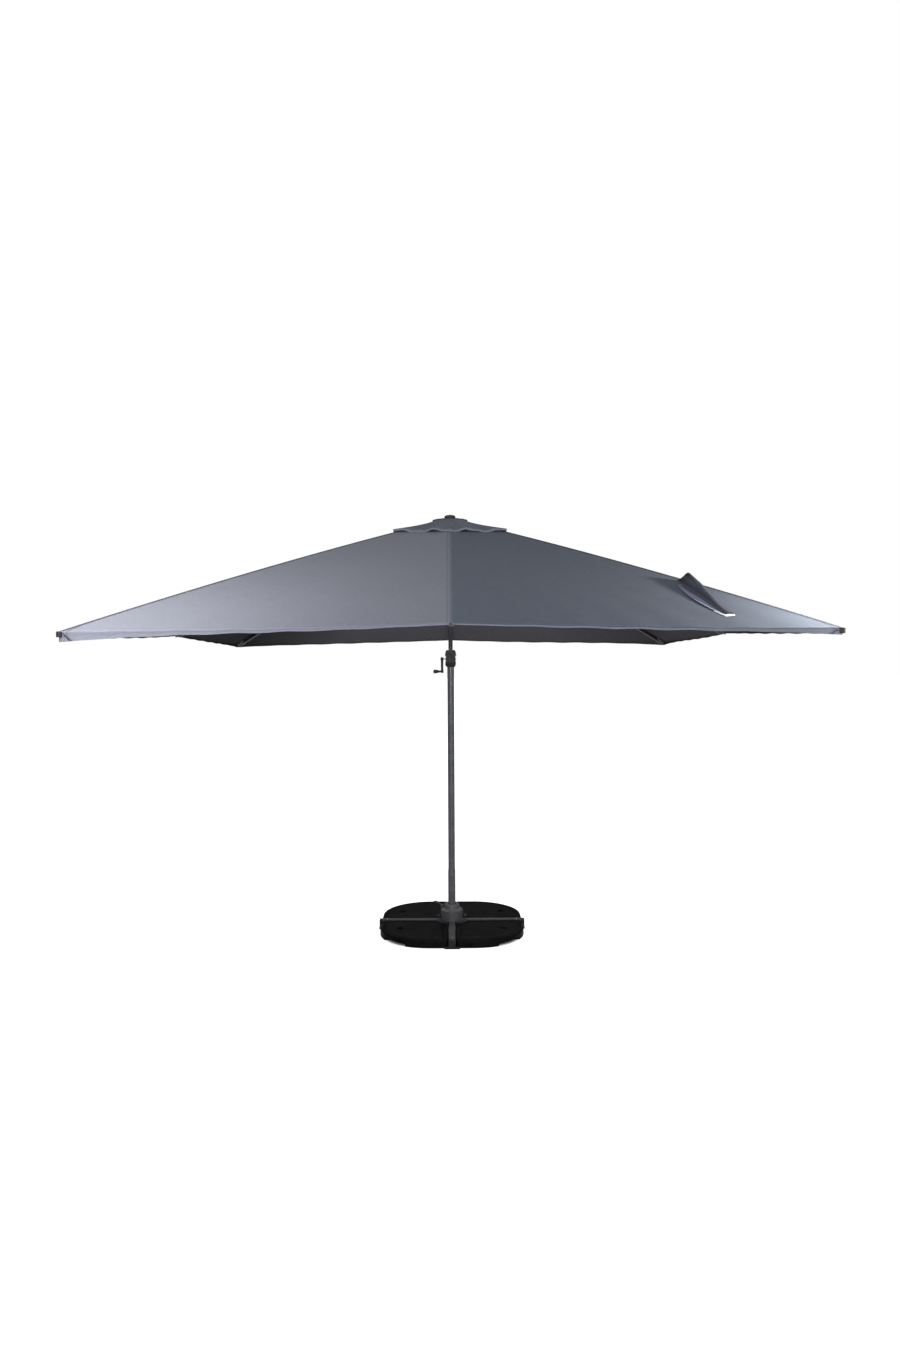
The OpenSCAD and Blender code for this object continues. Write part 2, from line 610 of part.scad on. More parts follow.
// closes a grid of top points and the same grid of bottom points into a solid
module slab(tops, lows) {
    rows = len(tops);
    cols = len(tops[0]);
    count = rows * cols;
    function at(i, j) = i * cols + j;
    rim = concat([for (j = [0:cols - 1]) at(0, j)], [for (i = [1:rows - 1]) at(i, cols - 1)],
        [for (j = [cols - 2:-1:0]) at(rows - 1, j)], [for (i = [rows - 2:-1:1]) at(i, 0)]);
    polyhedron(points = concat([for (row = tops) each row], [for (row = lows) each row]), faces = concat(
        [for (i = [0:rows - 2], j = [0:cols - 2]) each
            [[at(i, j), at(i + 1, j), at(i + 1, j + 1)], [at(i, j), at(i + 1, j + 1), at(i, j + 1)]]],
        [for (i = [0:rows - 2], j = [0:cols - 2]) each
            [[count + at(i, j), count + at(i + 1, j + 1), count + at(i + 1, j)],
             [count + at(i, j), count + at(i, j + 1), count + at(i + 1, j + 1)]]],
        [for (k = [0:len(rim) - 1]) let(a = rim[k], b = rim[(k + 1) % len(rim)]) each
            [[a, b, count + b], [a, count + b, count + a]]]));
}
// rays of wedge i: its two edges, its ridge over the rib, and one between each
wedge_rays = [-22.5, -11, -4, 0, 4, 11, 22.5];
// a point of wedge i in plan on ray a at share s, kept clear of the next wedge at the wedge's edges
function wedge_xy(i, a, s) =
    let(t = 45 * i + a, r = s * half / max(abs(cos(t)), abs(sin(t))), off = abs(a) == 22.5 ? -sign(a) * cloth_gap / 2 : 0)
    [r * cos(t) - off * sin(t), r * sin(t) + off * cos(t)];
function lifted(p, z) = [p[0], p[1], z];
// canopy wedge i: the cloth that its rib carries, with its hem, and its flap of the vent cap
module canopy(i) {
    shares = [vent_hole / half, 0.35, 0.55, 0.75, 0.9, 0.992, 1];
    grid = [for (s = shares) [for (a = wedge_rays) wedge_xy(i, a, s)]];
    color("#8b8d97") translate([0, -reach, 0]) {
        slab([for (row = grid) [for (p = row) lifted(p, cloth_z(p[0], p[1]))]],
            [for (k = [0:len(shares) - 1]) [for (p = grid[k])
                lifted(p, cloth_z(p[0], p[1]) - (k < len(shares) - 1 ? cloth_t : hem_z(p[0], p[1])))]]);
        vent_flap(i);
    }
}
// one sector of the vent cap, from the crown to the cap's square edge, with a tab down to the cloth
module vent_flap(i) {
    inner = [for (a = wedge_rays) let(t = 45 * i + a, off = abs(a) == 22.5 ? -sign(a) * cloth_gap / 2 : 0)
        [(crown_r + 2) * cos(t) - off * sin(t), (crown_r + 2) * sin(t) + off * cos(t), crown_z - 9]];
    outer = [for (a = wedge_rays) let(p = wedge_xy(i, a, vent_half / half)) lifted(p, cloth_z(p[0], p[1]) + vent_lift)];
    down = [0, 0, -cloth_t];
    slab([inner, outer], [[for (p = inner) p + down], [for (p = outer) p + down]]);
    tab = 0.93 * vent_half * rib_len(i) / half;
    rotate([0, 0, 45 * i]) upright(14) polygon([
        [tab - 8, line_z(i, (tab - 8) / rib_len(i)) - 1.5], [tab + 4, line_z(i, (tab + 4) / rib_len(i)) - 1.5],
        [tab + 4, flap_z(i, tab + 4) - 1], [tab - 8, flap_z(i, tab - 8) - 1]]);
}
// height of the vent cap's ridge line at the distance r from the centre
function flap_z(i, r) = let(edge = vent_half * rib_len(i) / half)
    crown_z - 9 + (line_z(i, vent_half / half) + vent_lift - crown_z + 9) * (r - crown_r) / (edge - crown_r);
// strap that ties the closed canopy, folded lengthways, from a corner rib's ridge onto the front cloth
strap_start = half * [0.6567, -0.7147];
strap_end = half * [0.732, -0.92];
strap_half = 48;
module tie_strap() {
    along = strap_end - strap_start;
    side = [along[1], -along[0]] / norm(along) * strap_half;
    grid = [for (u = [0:0.25:1]) [for (v = [-1, -0.4, 0, 0.4, 1]) let(p = strap_start + u * along + v * side)
        lifted(p, cloth_z(p[0], p[1]) + 2.5 * cloth_gap + (1 - abs(v)) * (26 - 16 * u))]];
    up = [0, 0, 3];
    color("#4a4c55") translate([0, -reach, 0])
        slab([for (row = grid) [for (p = row) p + up]], grid);
}

bar_across();
bars_lengthways();
bar_feet();
base_plate();
base_bolts();
weight(0);  // weight_rear_right
weight(1);  // weight_rear_left
weight(2);  // weight_front_left
weight(3);  // weight_front_right
filler_caps();
swivel_post();
swivel_bearing();
foot_cover();
cover_knobs();
foot_pedal();
pedal_pin();
mast_sleeve();
mast_tube();
crank_case_left();
crank_case_right();
case_screws();
arm_pivot_pin();
crank_shaft();
crank_arm();
crank_grip();
arm_foot();
arm_tube();
arm_head();
top_hub();
hub_pins();
finial();
vent_crown();
lift_cord();
runner_hub();
runner_pins();
tie_strap();
for (i = [0:7]) {
    rib(i);
    stretcher(i);
    canopy(i);
}
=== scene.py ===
import json
import math

import bmesh
import bpy
import numpy as np
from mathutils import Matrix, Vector

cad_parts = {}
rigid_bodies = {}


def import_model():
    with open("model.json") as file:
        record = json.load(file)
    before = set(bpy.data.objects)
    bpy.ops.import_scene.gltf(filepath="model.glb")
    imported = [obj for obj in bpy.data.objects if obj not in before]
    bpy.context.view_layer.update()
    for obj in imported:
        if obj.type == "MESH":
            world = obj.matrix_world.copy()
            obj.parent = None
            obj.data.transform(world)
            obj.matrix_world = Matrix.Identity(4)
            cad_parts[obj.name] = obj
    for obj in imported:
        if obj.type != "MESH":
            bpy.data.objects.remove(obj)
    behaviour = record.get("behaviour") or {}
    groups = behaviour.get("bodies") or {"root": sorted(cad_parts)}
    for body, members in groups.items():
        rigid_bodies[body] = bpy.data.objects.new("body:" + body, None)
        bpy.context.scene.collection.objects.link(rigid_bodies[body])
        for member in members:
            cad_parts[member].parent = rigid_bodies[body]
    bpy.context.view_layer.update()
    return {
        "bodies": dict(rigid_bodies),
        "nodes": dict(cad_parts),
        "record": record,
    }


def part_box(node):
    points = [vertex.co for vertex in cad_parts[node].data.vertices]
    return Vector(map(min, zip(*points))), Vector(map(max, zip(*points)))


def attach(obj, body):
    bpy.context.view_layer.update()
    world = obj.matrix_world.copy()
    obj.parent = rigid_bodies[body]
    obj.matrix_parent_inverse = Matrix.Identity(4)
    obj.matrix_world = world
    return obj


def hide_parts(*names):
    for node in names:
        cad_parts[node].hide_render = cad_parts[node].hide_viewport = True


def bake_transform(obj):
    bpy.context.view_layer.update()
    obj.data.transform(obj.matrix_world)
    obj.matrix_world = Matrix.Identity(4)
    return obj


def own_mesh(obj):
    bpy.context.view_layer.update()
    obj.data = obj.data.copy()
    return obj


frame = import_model()
nodes = frame["nodes"]
sides = ["right", "rear_right", "rear", "rear_left", "left", "front_left", "front", "front_right"]
print("frame loaded:", len(nodes), "nodes")


def linked(name, data):
    # a new object in the scene that holds the data
    thing = bpy.data.objects.new(name, data)
    bpy.context.scene.collection.objects.link(thing)
    return thing


# camera, at standing height in front of the canopy; its turns are in degrees from level and straight ahead
camera = {"place": (-0.002, -6.76, 1.948), "lens": 24.91, "sensor": 36, "farthest": 200,
          "pitch": 0.98, "roll": 0.30, "yaw": 0.02}
cameraData = bpy.data.cameras.new("camera")
cameraObject = linked("camera", cameraData)
cameraObject.location = camera["place"]
cameraObject.rotation_euler = (math.radians(90 - camera["pitch"]), math.radians(camera["roll"]),
                               math.radians(camera["yaw"]))
cameraData.sensor_width = camera["sensor"]
cameraData.lens = camera["lens"]
cameraData.clip_end = camera["farthest"]
bpy.context.scene.camera = cameraObject
print("camera placed")


# mesh tools: every shape is a grid of points worked out as one array
def smoothed(mesh, angle=35.0):
    # smooth shading, with edges steeper than the angle kept sharp
    mesh.shade_smooth()
    mesh.set_sharp_from_angle(angle=math.radians(angle))


def gridFaces(rows, cols, wrap=False):
    # quads between neighbours of a rows by cols grid; wrap joins the last column to the first
    i, j = np.meshgrid(np.arange(rows - 1), np.arange(cols if wrap else cols - 1), indexing="ij")
    nextJ = (j + 1) % cols
    quads = [i * cols + j, i * cols + nextJ, (i + 1) * cols + nextJ, (i + 1) * cols + j]
    return np.stack(quads, -1).reshape(-1, 4)


def loft(name, rings, smoothAngle=35.0):
    # closed solid through rings (rows, cols, 3): quads between rings, fans to the middle of both ends
    rows, cols = rings.shape[:2]
    ends = np.stack([rings[0].mean(0), rings[-1].mean(0)])
    points = np.concatenate([rings.reshape(-1, 3), ends])
    first = np.arange(cols)
    second = (first + 1) % cols
    lastRing = (rows - 1) * cols
    low = np.stack([second, first, np.full(cols, rows * cols)], -1)
    high = np.stack([first + lastRing, second + lastRing, np.full(cols, rows * cols + 1)], -1)
    quads = gridFaces(rows, cols, wrap=True)
    mesh = bpy.data.meshes.new(name)
    mesh.from_pydata(points.tolist(), [], quads.tolist() + low.tolist() + high.tolist())
    tidy = bmesh.new()
    tidy.from_mesh(mesh)
    bmesh.ops.remove_doubles(tidy, verts=tidy.verts, dist=1e-6)
    bmesh.ops.dissolve_degenerate(tidy, edges=tidy.edges, dist=1e-7)
    bmesh.ops.recalc_face_normals(tidy, faces=tidy.faces)
    tidy.to_mesh(mesh)
    tidy.free()
    smoothed(mesh, smoothAngle)
    return linked(name, mesh)


def lathe(name, profile, centre, segments=48):
    # profile rows of (radius, place along x) turned about the x axis through the centre
    profile = np.array(profile, float)
    turn = np.arange(segments) * 2 * np.pi / segments
    radius = profile[:, :1]
    along = np.repeat(profile[:, 1:], segments, 1)
    return loft(name, np.stack([along, radius * np.cos(turn), radius * np.sin(turn)], -1) + np.array(centre))


def roundedOutline(width, depth, radius, steps=6):
    # points of a rectangle with quarter-circle corners, anticlockwise about its middle
    turn = np.linspace(0, np.pi / 2, steps)
    corners = []
    for k, (sx, sy) in enumerate([(1, 1), (-1, 1), (-1, -1), (1, -1)]):
        angle = turn + k * np.pi / 2
        corners.append(np.stack([sx * (width / 2 - radius) + radius * np.cos(angle),
                                 sy * (depth / 2 - radius) + radius * np.sin(angle)], -1))
    return np.concatenate(corners)


def softBlock(name, low, high, radius, edge):
    # box along x with a rounded outline and rounded ends: insets follow a quarter circle of the edge radius
    low, high = np.array(low, float), np.array(high, float)
    size, middle = high - low, (low + high) / 2
    turn = np.linspace(0, np.pi / 2, 5)
    inset, level = edge * (1 - np.sin(turn)), edge * (1 - np.cos(turn))
    cuts = np.concatenate([inset, inset[::-1]])
    places = np.concatenate([low[0] + level, high[0] - level[::-1]])
    rings = []
    for cut, place in zip(cuts, places):
        outline = roundedOutline(size[1] - 2 * cut, size[2] - 2 * cut, max(radius - cut, 1e-4)) + middle[1:]
        rings.append(np.insert(outline, 0, place, axis=1))
    return loft(name, np.array(rings))


def vertexPoints(mesh):
    # the mesh's points as rows of x, y and z
    points = np.zeros(len(mesh.vertices) * 3)
    mesh.vertices.foreach_get("co", points)
    return points.reshape(-1, 3)


def placed(piece, turn, centre=(0, 0, 0)):
    # turns a finished mesh about the vertical and moves it, with the object left at the origin
    x, y, z = vertexPoints(piece.data).T
    c, s = math.cos(turn), math.sin(turn)
    moved = np.stack([c * x - s * y, s * x + c * y, z], -1) + np.array(centre)
    piece.data.vertices.foreach_set("co", moved.ravel())
    piece.data.update()
    return piece


def joined(name, pieces):
    # several loose solids as one piece
    merged = bmesh.new()
    for piece in pieces:
        merged.from_mesh(piece.data)
        bpy.data.objects.remove(piece)
    mesh = bpy.data.meshes.new(name)
    merged.to_mesh(mesh)
    merged.free()
    smoothed(mesh)
    return linked(name, mesh)


def setMap(mesh, places):
    # the cloth's own map: a place in metres, across and along, for each of the mesh's points
    corners = np.zeros(len(mesh.loops), np.int32)
    mesh.loops.foreach_get("vertex_index", corners)
    layer = mesh.uv_layers.new(name="clothMap")
    layer.data.foreach_set("uv", places.reshape(-1, 2)[corners].astype(np.float32).ravel())


def setPointValues(mesh, name, values):
    # four values for each of the mesh's points, read by a material under that name
    layer = mesh.attributes.new(name, "FLOAT_COLOR", "POINT")
    layer.data.foreach_set("color", values.astype(np.float32).ravel())


# material tools
def feed(tree, socket, value):
    # links another node's output to the socket, or sets a number, a vector or an opaque colour on it
    if isinstance(value, bpy.types.NodeSocket):
        tree.links.new(value, socket)
    elif socket.type == "RGBA":
        socket.default_value = (*value, 1)
    else:
        socket.default_value = value


def newGroup(name, inputs, outputs):
    # node group with number sockets, and a vector socket where an input has no usual value
    group = bpy.data.node_groups.new(name, "ShaderNodeTree")
    for label, usual in inputs.items():
        kind = "NodeSocketVector" if usual is None else "NodeSocketFloat"
        socket = group.interface.new_socket(label, in_out="INPUT", socket_type=kind)
        if usual is not None:
            socket.default_value = usual
    for label in outputs:
        group.interface.new_socket(label, in_out="OUTPUT", socket_type="NodeSocketFloat")
    return group, group.nodes.new("NodeGroupInput").outputs, group.nodes.new("NodeGroupOutput").inputs


def groupNode(tree, group, **inputs):
    node = tree.nodes.new("ShaderNodeGroup")
    node.node_tree = group
    for label, value in inputs.items():
        feed(tree, node.inputs[label], value)
    return node.outputs


def mathNode(tree, operation, a, b=None, clamp=False):
    node = tree.nodes.new("ShaderNodeMath")
    node.operation = operation
    node.use_clamp = clamp
    feed(tree, node.inputs[0], a)
    if b is not None:
        feed(tree, node.inputs[1], b)
    return node.outputs[0]


def noiseNode(tree, vector, scale, detail=3.0, rough=0.55):
    node = tree.nodes.new("ShaderNodeTexNoise")
    for label, value in (("Vector", vector), ("Scale", scale), ("Detail", detail), ("Roughness", rough)):
        feed(tree, node.inputs[label], value)
    return node.outputs["Fac"]


def splitVector(tree, vector):
    node = tree.nodes.new("ShaderNodeSeparateXYZ")
    tree.links.new(vector, node.inputs[0])
    return node.outputs


def clothPlace(tree):
    # place on the cloth's own map
    node = tree.nodes.new("ShaderNodeUVMap")
    node.uv_map = "clothMap"
    return node.outputs[0]


def pointValues(tree, name):
    node = tree.nodes.new("ShaderNodeAttribute")
    node.attribute_name = name
    return node.outputs


def remap(tree, value, fromLow, fromHigh, toLow, toHigh):
    node = tree.nodes.new("ShaderNodeMapRange")
    for socket, number in zip(list(node.inputs)[1:5], (fromLow, fromHigh, toLow, toHigh)):
        socket.default_value = number
    tree.links.new(value, node.inputs[0])
    return node.outputs[0]


def grainGroup():
    # fine surface grain and faint larger unevenness, from two noises on one vector
    inputs = {"Vector": None, "Fine": 900.0, "Coarse": 12.0}
    group, given, result = newGroup("grain", inputs, ["Height", "Cloud"])
    for label, scale, detail in (("Height", "Fine", 2.0), ("Cloud", "Coarse", 4.0)):
        group.links.new(noiseNode(group, given["Vector"], given[scale], detail, 0.5), result[label])
    return group


def dustGroup():
    # dust and scuffs: patchy noise, stronger on faces that look up
    group, given, result = newGroup("dust", {"Vector": None, "Amount": 0.3}, ["Mask"])
    facing = splitVector(group, group.nodes.new("ShaderNodeNewGeometry").outputs["Normal"])
    upward = remap(group, facing["Z"], 0.2, 1.0, 0.25, 1.0)
    patches = remap(group, noiseNode(group, given["Vector"], 26.0, 6.0, 0.65), 0.5, 0.78, 0.0, 1.0)
    mask = mathNode(group, "MULTIPLY", upward, patches)
    group.links.new(mathNode(group, "MULTIPLY", mask, given["Amount"], clamp=True), result["Mask"])
    return group


def weaveGroup():
    # plain weave: two sets of threads as the product of sines, with slubs from stretched noise
    group, given, result = newGroup("weave", {"Vector": None, "Threads": 900.0}, ["Height", "Slub"])
    place = splitVector(group, given["Vector"])
    warp, weft = (mathNode(group, "SINE", mathNode(group, "MULTIPLY", place[axis], given["Threads"]))
                  for axis in "XY")
    group.links.new(mathNode(group, "MULTIPLY", warp, weft), result["Height"])
    streaks = []
    for stretch in ((18, 900, 1), (900, 18, 1)):
        mapping = group.nodes.new("ShaderNodeMapping")
        mapping.inputs["Scale"].default_value = stretch
        group.links.new(given["Vector"], mapping.inputs["Vector"])
        streaks.append(noiseNode(group, mapping.outputs[0], 1.0, 1.0))
    group.links.new(mathNode(group, "MULTIPLY", mathNode(group, "ADD", *streaks), 0.5), result["Slub"])
    return group


def stitchGroup():
    # dashes of thread along a line: the line is where the distance is nought, the dashes are a sine along it
    group, given, result = newGroup("stitches", {"Distance": 1.0, "Along": 0.0}, ["Mask"])
    near = remap(group, mathNode(group, "ABSOLUTE", given["Distance"]), 0.0004, 0.0009, 1.0, 0.0)
    dash = mathNode(group, "SINE", mathNode(group, "MULTIPLY", given["Along"], 1600.0))
    dashes = remap(group, dash, -0.4, 0.0, 0.0, 1.0)
    group.links.new(mathNode(group, "MULTIPLY", near, dashes), result["Mask"])
    return group


grain = grainGroup()
dust = dustGroup()
weave = weaveGroup()
stitches = stitchGroup()
dustColour = (0.32, 0.31, 0.29)


def startMaterial(name, colour, rough, metal=0.0, sheen=0.0, specular=0.5, bend=1.5):
    # a material with its plain values; the nodes that vary them are added by the caller
    material = bpy.data.materials.new(name)
    material.use_nodes = True
    shader = material.node_tree.nodes["Principled BSDF"]
    plain = {"Base Color": (*colour, 1), "Roughness": rough, "Metallic": metal, "Sheen Weight": sheen,
             "Specular IOR Level": specular, "IOR": bend}
    for label, value in plain.items():
        shader.inputs[label].default_value = value
    return material, material.node_tree, shader.inputs


def mixColour(tree, factor, a, b, blend="MIX"):
    # the sockets 0, 6 and 7 of a colour mix are its factor and its two colours
    node = tree.nodes.new("ShaderNodeMix")
    node.data_type = "RGBA"
    node.blend_type = blend
    for k, value in ((0, factor), (6, a), (7, b)):
        feed(tree, node.inputs[k], value)
    return node.outputs[2]


def bumpNode(tree, height, strength, distance, below=None):
    node = tree.nodes.new("ShaderNodeBump")
    node.inputs["Strength"].default_value = strength
    node.inputs["Distance"].default_value = distance
    tree.links.new(height, node.inputs["Height"])
    if below is not None:
        tree.links.new(below, node.inputs["Normal"])
    return node.outputs[0]


def hardMaterial(name, colour, rough, fine=1500.0, bump=0.25, depth=0.0002, cloud=0.12, dustAmount=0.03,
                 specular=0.25, bend=1.5):
    # paint or moulded plastic: grain bump, cloudy roughness, dust on upward faces
    material, tree, surface = startMaterial(name, colour, rough, specular=specular, bend=bend)
    place = tree.nodes.new("ShaderNodeTexCoord").outputs["Object"]
    texture = groupNode(tree, grain, Vector=place, Fine=fine)
    film = groupNode(tree, dust, Vector=place, Amount=dustAmount)["Mask"]
    lighter = tuple(min(1.0, c * 1.25 + 0.004) for c in colour)
    base = mixColour(tree, remap(tree, texture["Cloud"], 0.35, 0.7, 0.0, 1.0), colour, lighter)
    tree.links.new(mixColour(tree, film, base, dustColour), surface["Base Color"])
    worn = remap(tree, texture["Cloud"], 0.3, 0.75, rough - cloud / 2, rough + cloud / 2)
    worn = mathNode(tree, "ADD", worn, mathNode(tree, "MULTIPLY", film, 0.4), clamp=True)
    tree.links.new(worn, surface["Roughness"])
    tree.links.new(bumpNode(tree, texture["Height"], bump, depth), surface["Normal"])
    return material


cloth = {"outer": (0.0560, 0.0637, 0.0859), "under": (0.052, 0.051, 0.060), "threads": 5200.0, "rough": 0.86}


def clothMaterial(name, colour, sheen=0.03, toneFrom="Color"):
    # woven polyester: threads and slubs along the cloth's own directions, faint clouding, stitched bands by
    # the hem
    material, tree, surface = startMaterial(name, colour, cloth["rough"], sheen=sheen, specular=0.12)
    surface["Sheen Roughness"].default_value = 0.45
    place = clothPlace(tree)
    texture = groupNode(tree, weave, Vector=place, Threads=cloth["threads"])
    clouds = noiseNode(tree, place, 3.0, 5.0, 0.6)
    darker, thread = (tuple(c * share for c in colour) for share in (0.80, 0.5))
    lighter, pale = (tuple(min(1.0, c * share) for c in colour) for share in (1.16, 1.5))
    base = mixColour(tree, remap(tree, texture["Slub"], 0.3, 0.7, 0.0, 1.0), darker, lighter)
    base = mixColour(tree, remap(tree, clouds, 0.35, 0.7, 0.0, 0.16), base, pale)
    # the points' tone multiplies the colour; on the canopy and the strap it holds painted light and shade
    # besides the cloth's own tone
    base = mixColour(tree, 1.0, base, pointValues(tree, "toneAndLight")[toneFrom], "MULTIPLY")
    distance = tree.nodes.new("ShaderNodeSeparateColor")
    tree.links.new(pointValues(tree, "stitch")["Color"], distance.inputs[0])
    along = splitVector(tree, place)
    sewn = groupNode(tree, stitches, Distance=distance.outputs[0],
                     Along=mathNode(tree, "ADD", along["X"], along["Y"]))["Mask"]
    tree.links.new(mixColour(tree, sewn, base, thread), surface["Base Color"])
    worn = remap(tree, clouds, 0.3, 0.7, cloth["rough"] - 0.08, cloth["rough"] + 0.08)
    tree.links.new(worn, surface["Roughness"])
    ripple = bumpNode(tree, noiseNode(tree, place, 22.0, 3.0), 0.12, 0.004)
    woven = bumpNode(tree, texture["Height"], 0.25, 0.0003, ripple)
    tree.links.new(bumpNode(tree, sewn, 0.5, 0.0006, woven), surface["Normal"])
    return material


def metalMaterial(name, colour, rough):
    # plated steel: fine streaks in roughness, faint stains
    material, tree, surface = startMaterial(name, colour, rough, metal=1.0)
    place = tree.nodes.new("ShaderNodeTexCoord").outputs["Object"]
    stains = remap(tree, noiseNode(tree, place, 60.0, 5.0, 0.6), 0.4, 0.75, 0.0, 0.6)
    streaks = noiseNode(tree, place, 1400.0, 2.0)
    darker = tuple(c * 0.6 for c in colour)
    tree.links.new(mixColour(tree, stains, colour, darker), surface["Base Color"])
    tree.links.new(remap(tree, streaks, 0.3, 0.7, rough - 0.1, rough + 0.15), surface["Roughness"])
    tree.links.new(bumpNode(tree, streaks, 0.2, 0.0001), surface["Normal"])
    return material


def cordMaterial(name, colour):
    # braided cord: diagonal strands round the cord from its own map
    material, tree, surface = startMaterial(name, colour, 0.8, sheen=0.2)
    place = splitVector(tree, clothPlace(tree))
    strands = []
    for lean in (630.0, -630.0):
        phase = mathNode(tree, "ADD", mathNode(tree, "MULTIPLY", place["X"], lean),
                         mathNode(tree, "MULTIPLY", place["Y"], 1400.0))
        strands.append(mathNode(tree, "SINE", phase))
    height = mathNode(tree, "MAXIMUM", *strands)
    # the grooves between the strands are painted darker: a painted shade
    darker = tuple(c * 0.45 for c in colour)
    raised = remap(tree, height, -0.2, 1.0, 0.0, 1.0)
    tree.links.new(mixColour(tree, raised, darker, colour), surface["Base Color"])
    tree.links.new(bumpNode(tree, height, 0.6, 0.0006), surface["Normal"])
    return material


finishes = {
    "bar_steel": hardMaterial("barPaint", (0.036, 0.037, 0.043), 0.46),
    "foot_steel": hardMaterial("footPaint", (0.0060, 0.0060, 0.0070), 0.42, dustAmount=0.02),
    "zinc_steel": metalMaterial("zincPlate", (0.50, 0.51, 0.52), 0.34),
    "weight_plastic": hardMaterial("weightPlastic", (0.0028, 0.0028, 0.0034), 0.24, fine=420.0, bump=0.06,
                                   depth=0.0004, cloud=0.06, dustAmount=0.003, specular=0.12, bend=1.14),
    "black_plastic": hardMaterial("blackPlastic", (0.0075, 0.0075, 0.0085), 0.46, fine=1800.0, bump=0.35),
    "mast_paint": hardMaterial("mastPaint", (0.062, 0.066, 0.076), 0.27, fine=1600.0, bump=0.08, cloud=0.06,
                               dustAmount=0.04, specular=0.3),
    "bearing_plastic": hardMaterial("bearingPlastic", (0.62, 0.62, 0.60), 0.5, fine=900.0, bump=0.15,
                                    dustAmount=0.25, specular=0.5),
    "cover_plastic": hardMaterial("coverPlastic", (0.050, 0.051, 0.057), 0.46, bump=0.35, dustAmount=0.2,
                                  specular=0.5),
    "case_plastic": hardMaterial("casePlastic", (0.0090, 0.0094, 0.0112), 0.48, bump=0.35),
    "frame_paint": hardMaterial("framePaint", (0.0100, 0.0100, 0.0120), 0.38, dustAmount=0.04, specular=0.3),
    "canopy_cloth": clothMaterial("canopyCloth", cloth["outer"]),
    "strap_cloth": clothMaterial("strapCloth", (0.034, 0.036, 0.047)),
    "cord": cordMaterial("cordBraid", (0.52, 0.52, 0.50)),
}
# the underside's colour is multiplied by the fourth value of the points' tone, a painted shade under the
# canopy
underCloth = clothMaterial("canopyUnder", cloth["under"], sheen=0.0, toneFrom="Alpha")
velcro = clothMaterial("velcroPad", (0.40, 0.40, 0.41))
print("materials made:", len(finishes) + 2)

for entry in frame["record"]["subparts"]:
    node = nodes[entry["node"]]
    node.data.materials.clear()
    node.data.materials.append(finishes[entry["material_slot"]])


def finish(piece, slot, body, replaced=(), extra=()):
    # gives a new piece its material, its body and the nodes that it stands for
    piece.data.materials.clear()
    piece.data.materials.append(finishes[slot])
    for material in extra:
        piece.data.materials.append(material)
    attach(piece, body)
    if replaced:
        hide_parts(*replaced)
    return piece


# canopy: heights as in the solids, from a middle rib's line and a corner rib's line
canopy = {"half": 1.5, "peak": 2.710, "fall": 0.580, "cornerBow": 0.070, "middleBow": 0.045, "sag": 0.008,
          "ventHole": 0.190, "ventHalf": 0.290, "ventLift": 0.017, "thick": 0.0012, "keep": 0.15,
          "ventKeep": 0.42, "hemBand": 0.020, "bandHalf": 0.0115, "bandLift": 0.0009, "bandEdge": 0.001,
          "bandStitch": 0.0025, "foldHeight": 0.0016, "foldReach": 0.16, "scallop": 0.0022,
          "crownRadius": 0.095}
hubLow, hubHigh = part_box("top_hub")
hub = np.array([0.0, (hubLow.y + hubHigh.y) / 2, 0.0])


def ribLine(s, bow):
    # height of a rib's line at the share s of its length: a straight fall and a small bend
    return canopy["peak"] - canopy["fall"] * s - bow * s * s


def squarePlace(x, y):
    # how far out a plan point is, as a share of the half side, and how near a diagonal, from nought to one
    far = np.maximum(np.abs(x), np.abs(y))
    return far / canopy["half"], np.minimum(np.abs(x), np.abs(y)) / far


def alongHem(x, y):
    # distance along the side of the square that a plan point faces
    return np.where(np.abs(x) > np.abs(y), y, x)


def clothHeight(x, y):
    # blend of the two rib lines by the angle between them, with a sag that is greatest between ribs
    share, w = squarePlace(x, y)
    return ((1 - w) * ribLine(share, canopy["middleBow"]) + w * ribLine(share, canopy["cornerBow"])
            - canopy["sag"] * share * np.sin(np.pi * w))


def tension(x, y):
    # shallow folds that fan from the rib tips, and a scalloped hem, none at the ribs themselves
    share, w = squarePlace(x, y)
    away = np.sin(np.pi * w)
    fan = np.sin(w * 46 + 3.0 * np.sin(5.0 * share) + np.sign(x) * 1.7 + np.sign(y) * 0.6)
    folds = fan * np.exp(-((1 - share) / canopy["foldReach"]))
    broad = np.sin(share * 9.0 + 2.0 * np.sign(x * y) + 4.0 * w)
    return canopy["foldHeight"] * folds * away + canopy["scallop"] * broad * away * share


def wedgePlan(i, angle, share):
    # plan point on the ray at angle from rib i, where a square ring of that share crosses it
    turn = np.radians(45 * i) + angle
    reach = share * canopy["half"] / np.maximum(np.abs(np.cos(turn)), np.abs(np.sin(turn)))
    return reach * np.cos(turn), reach * np.sin(turn)


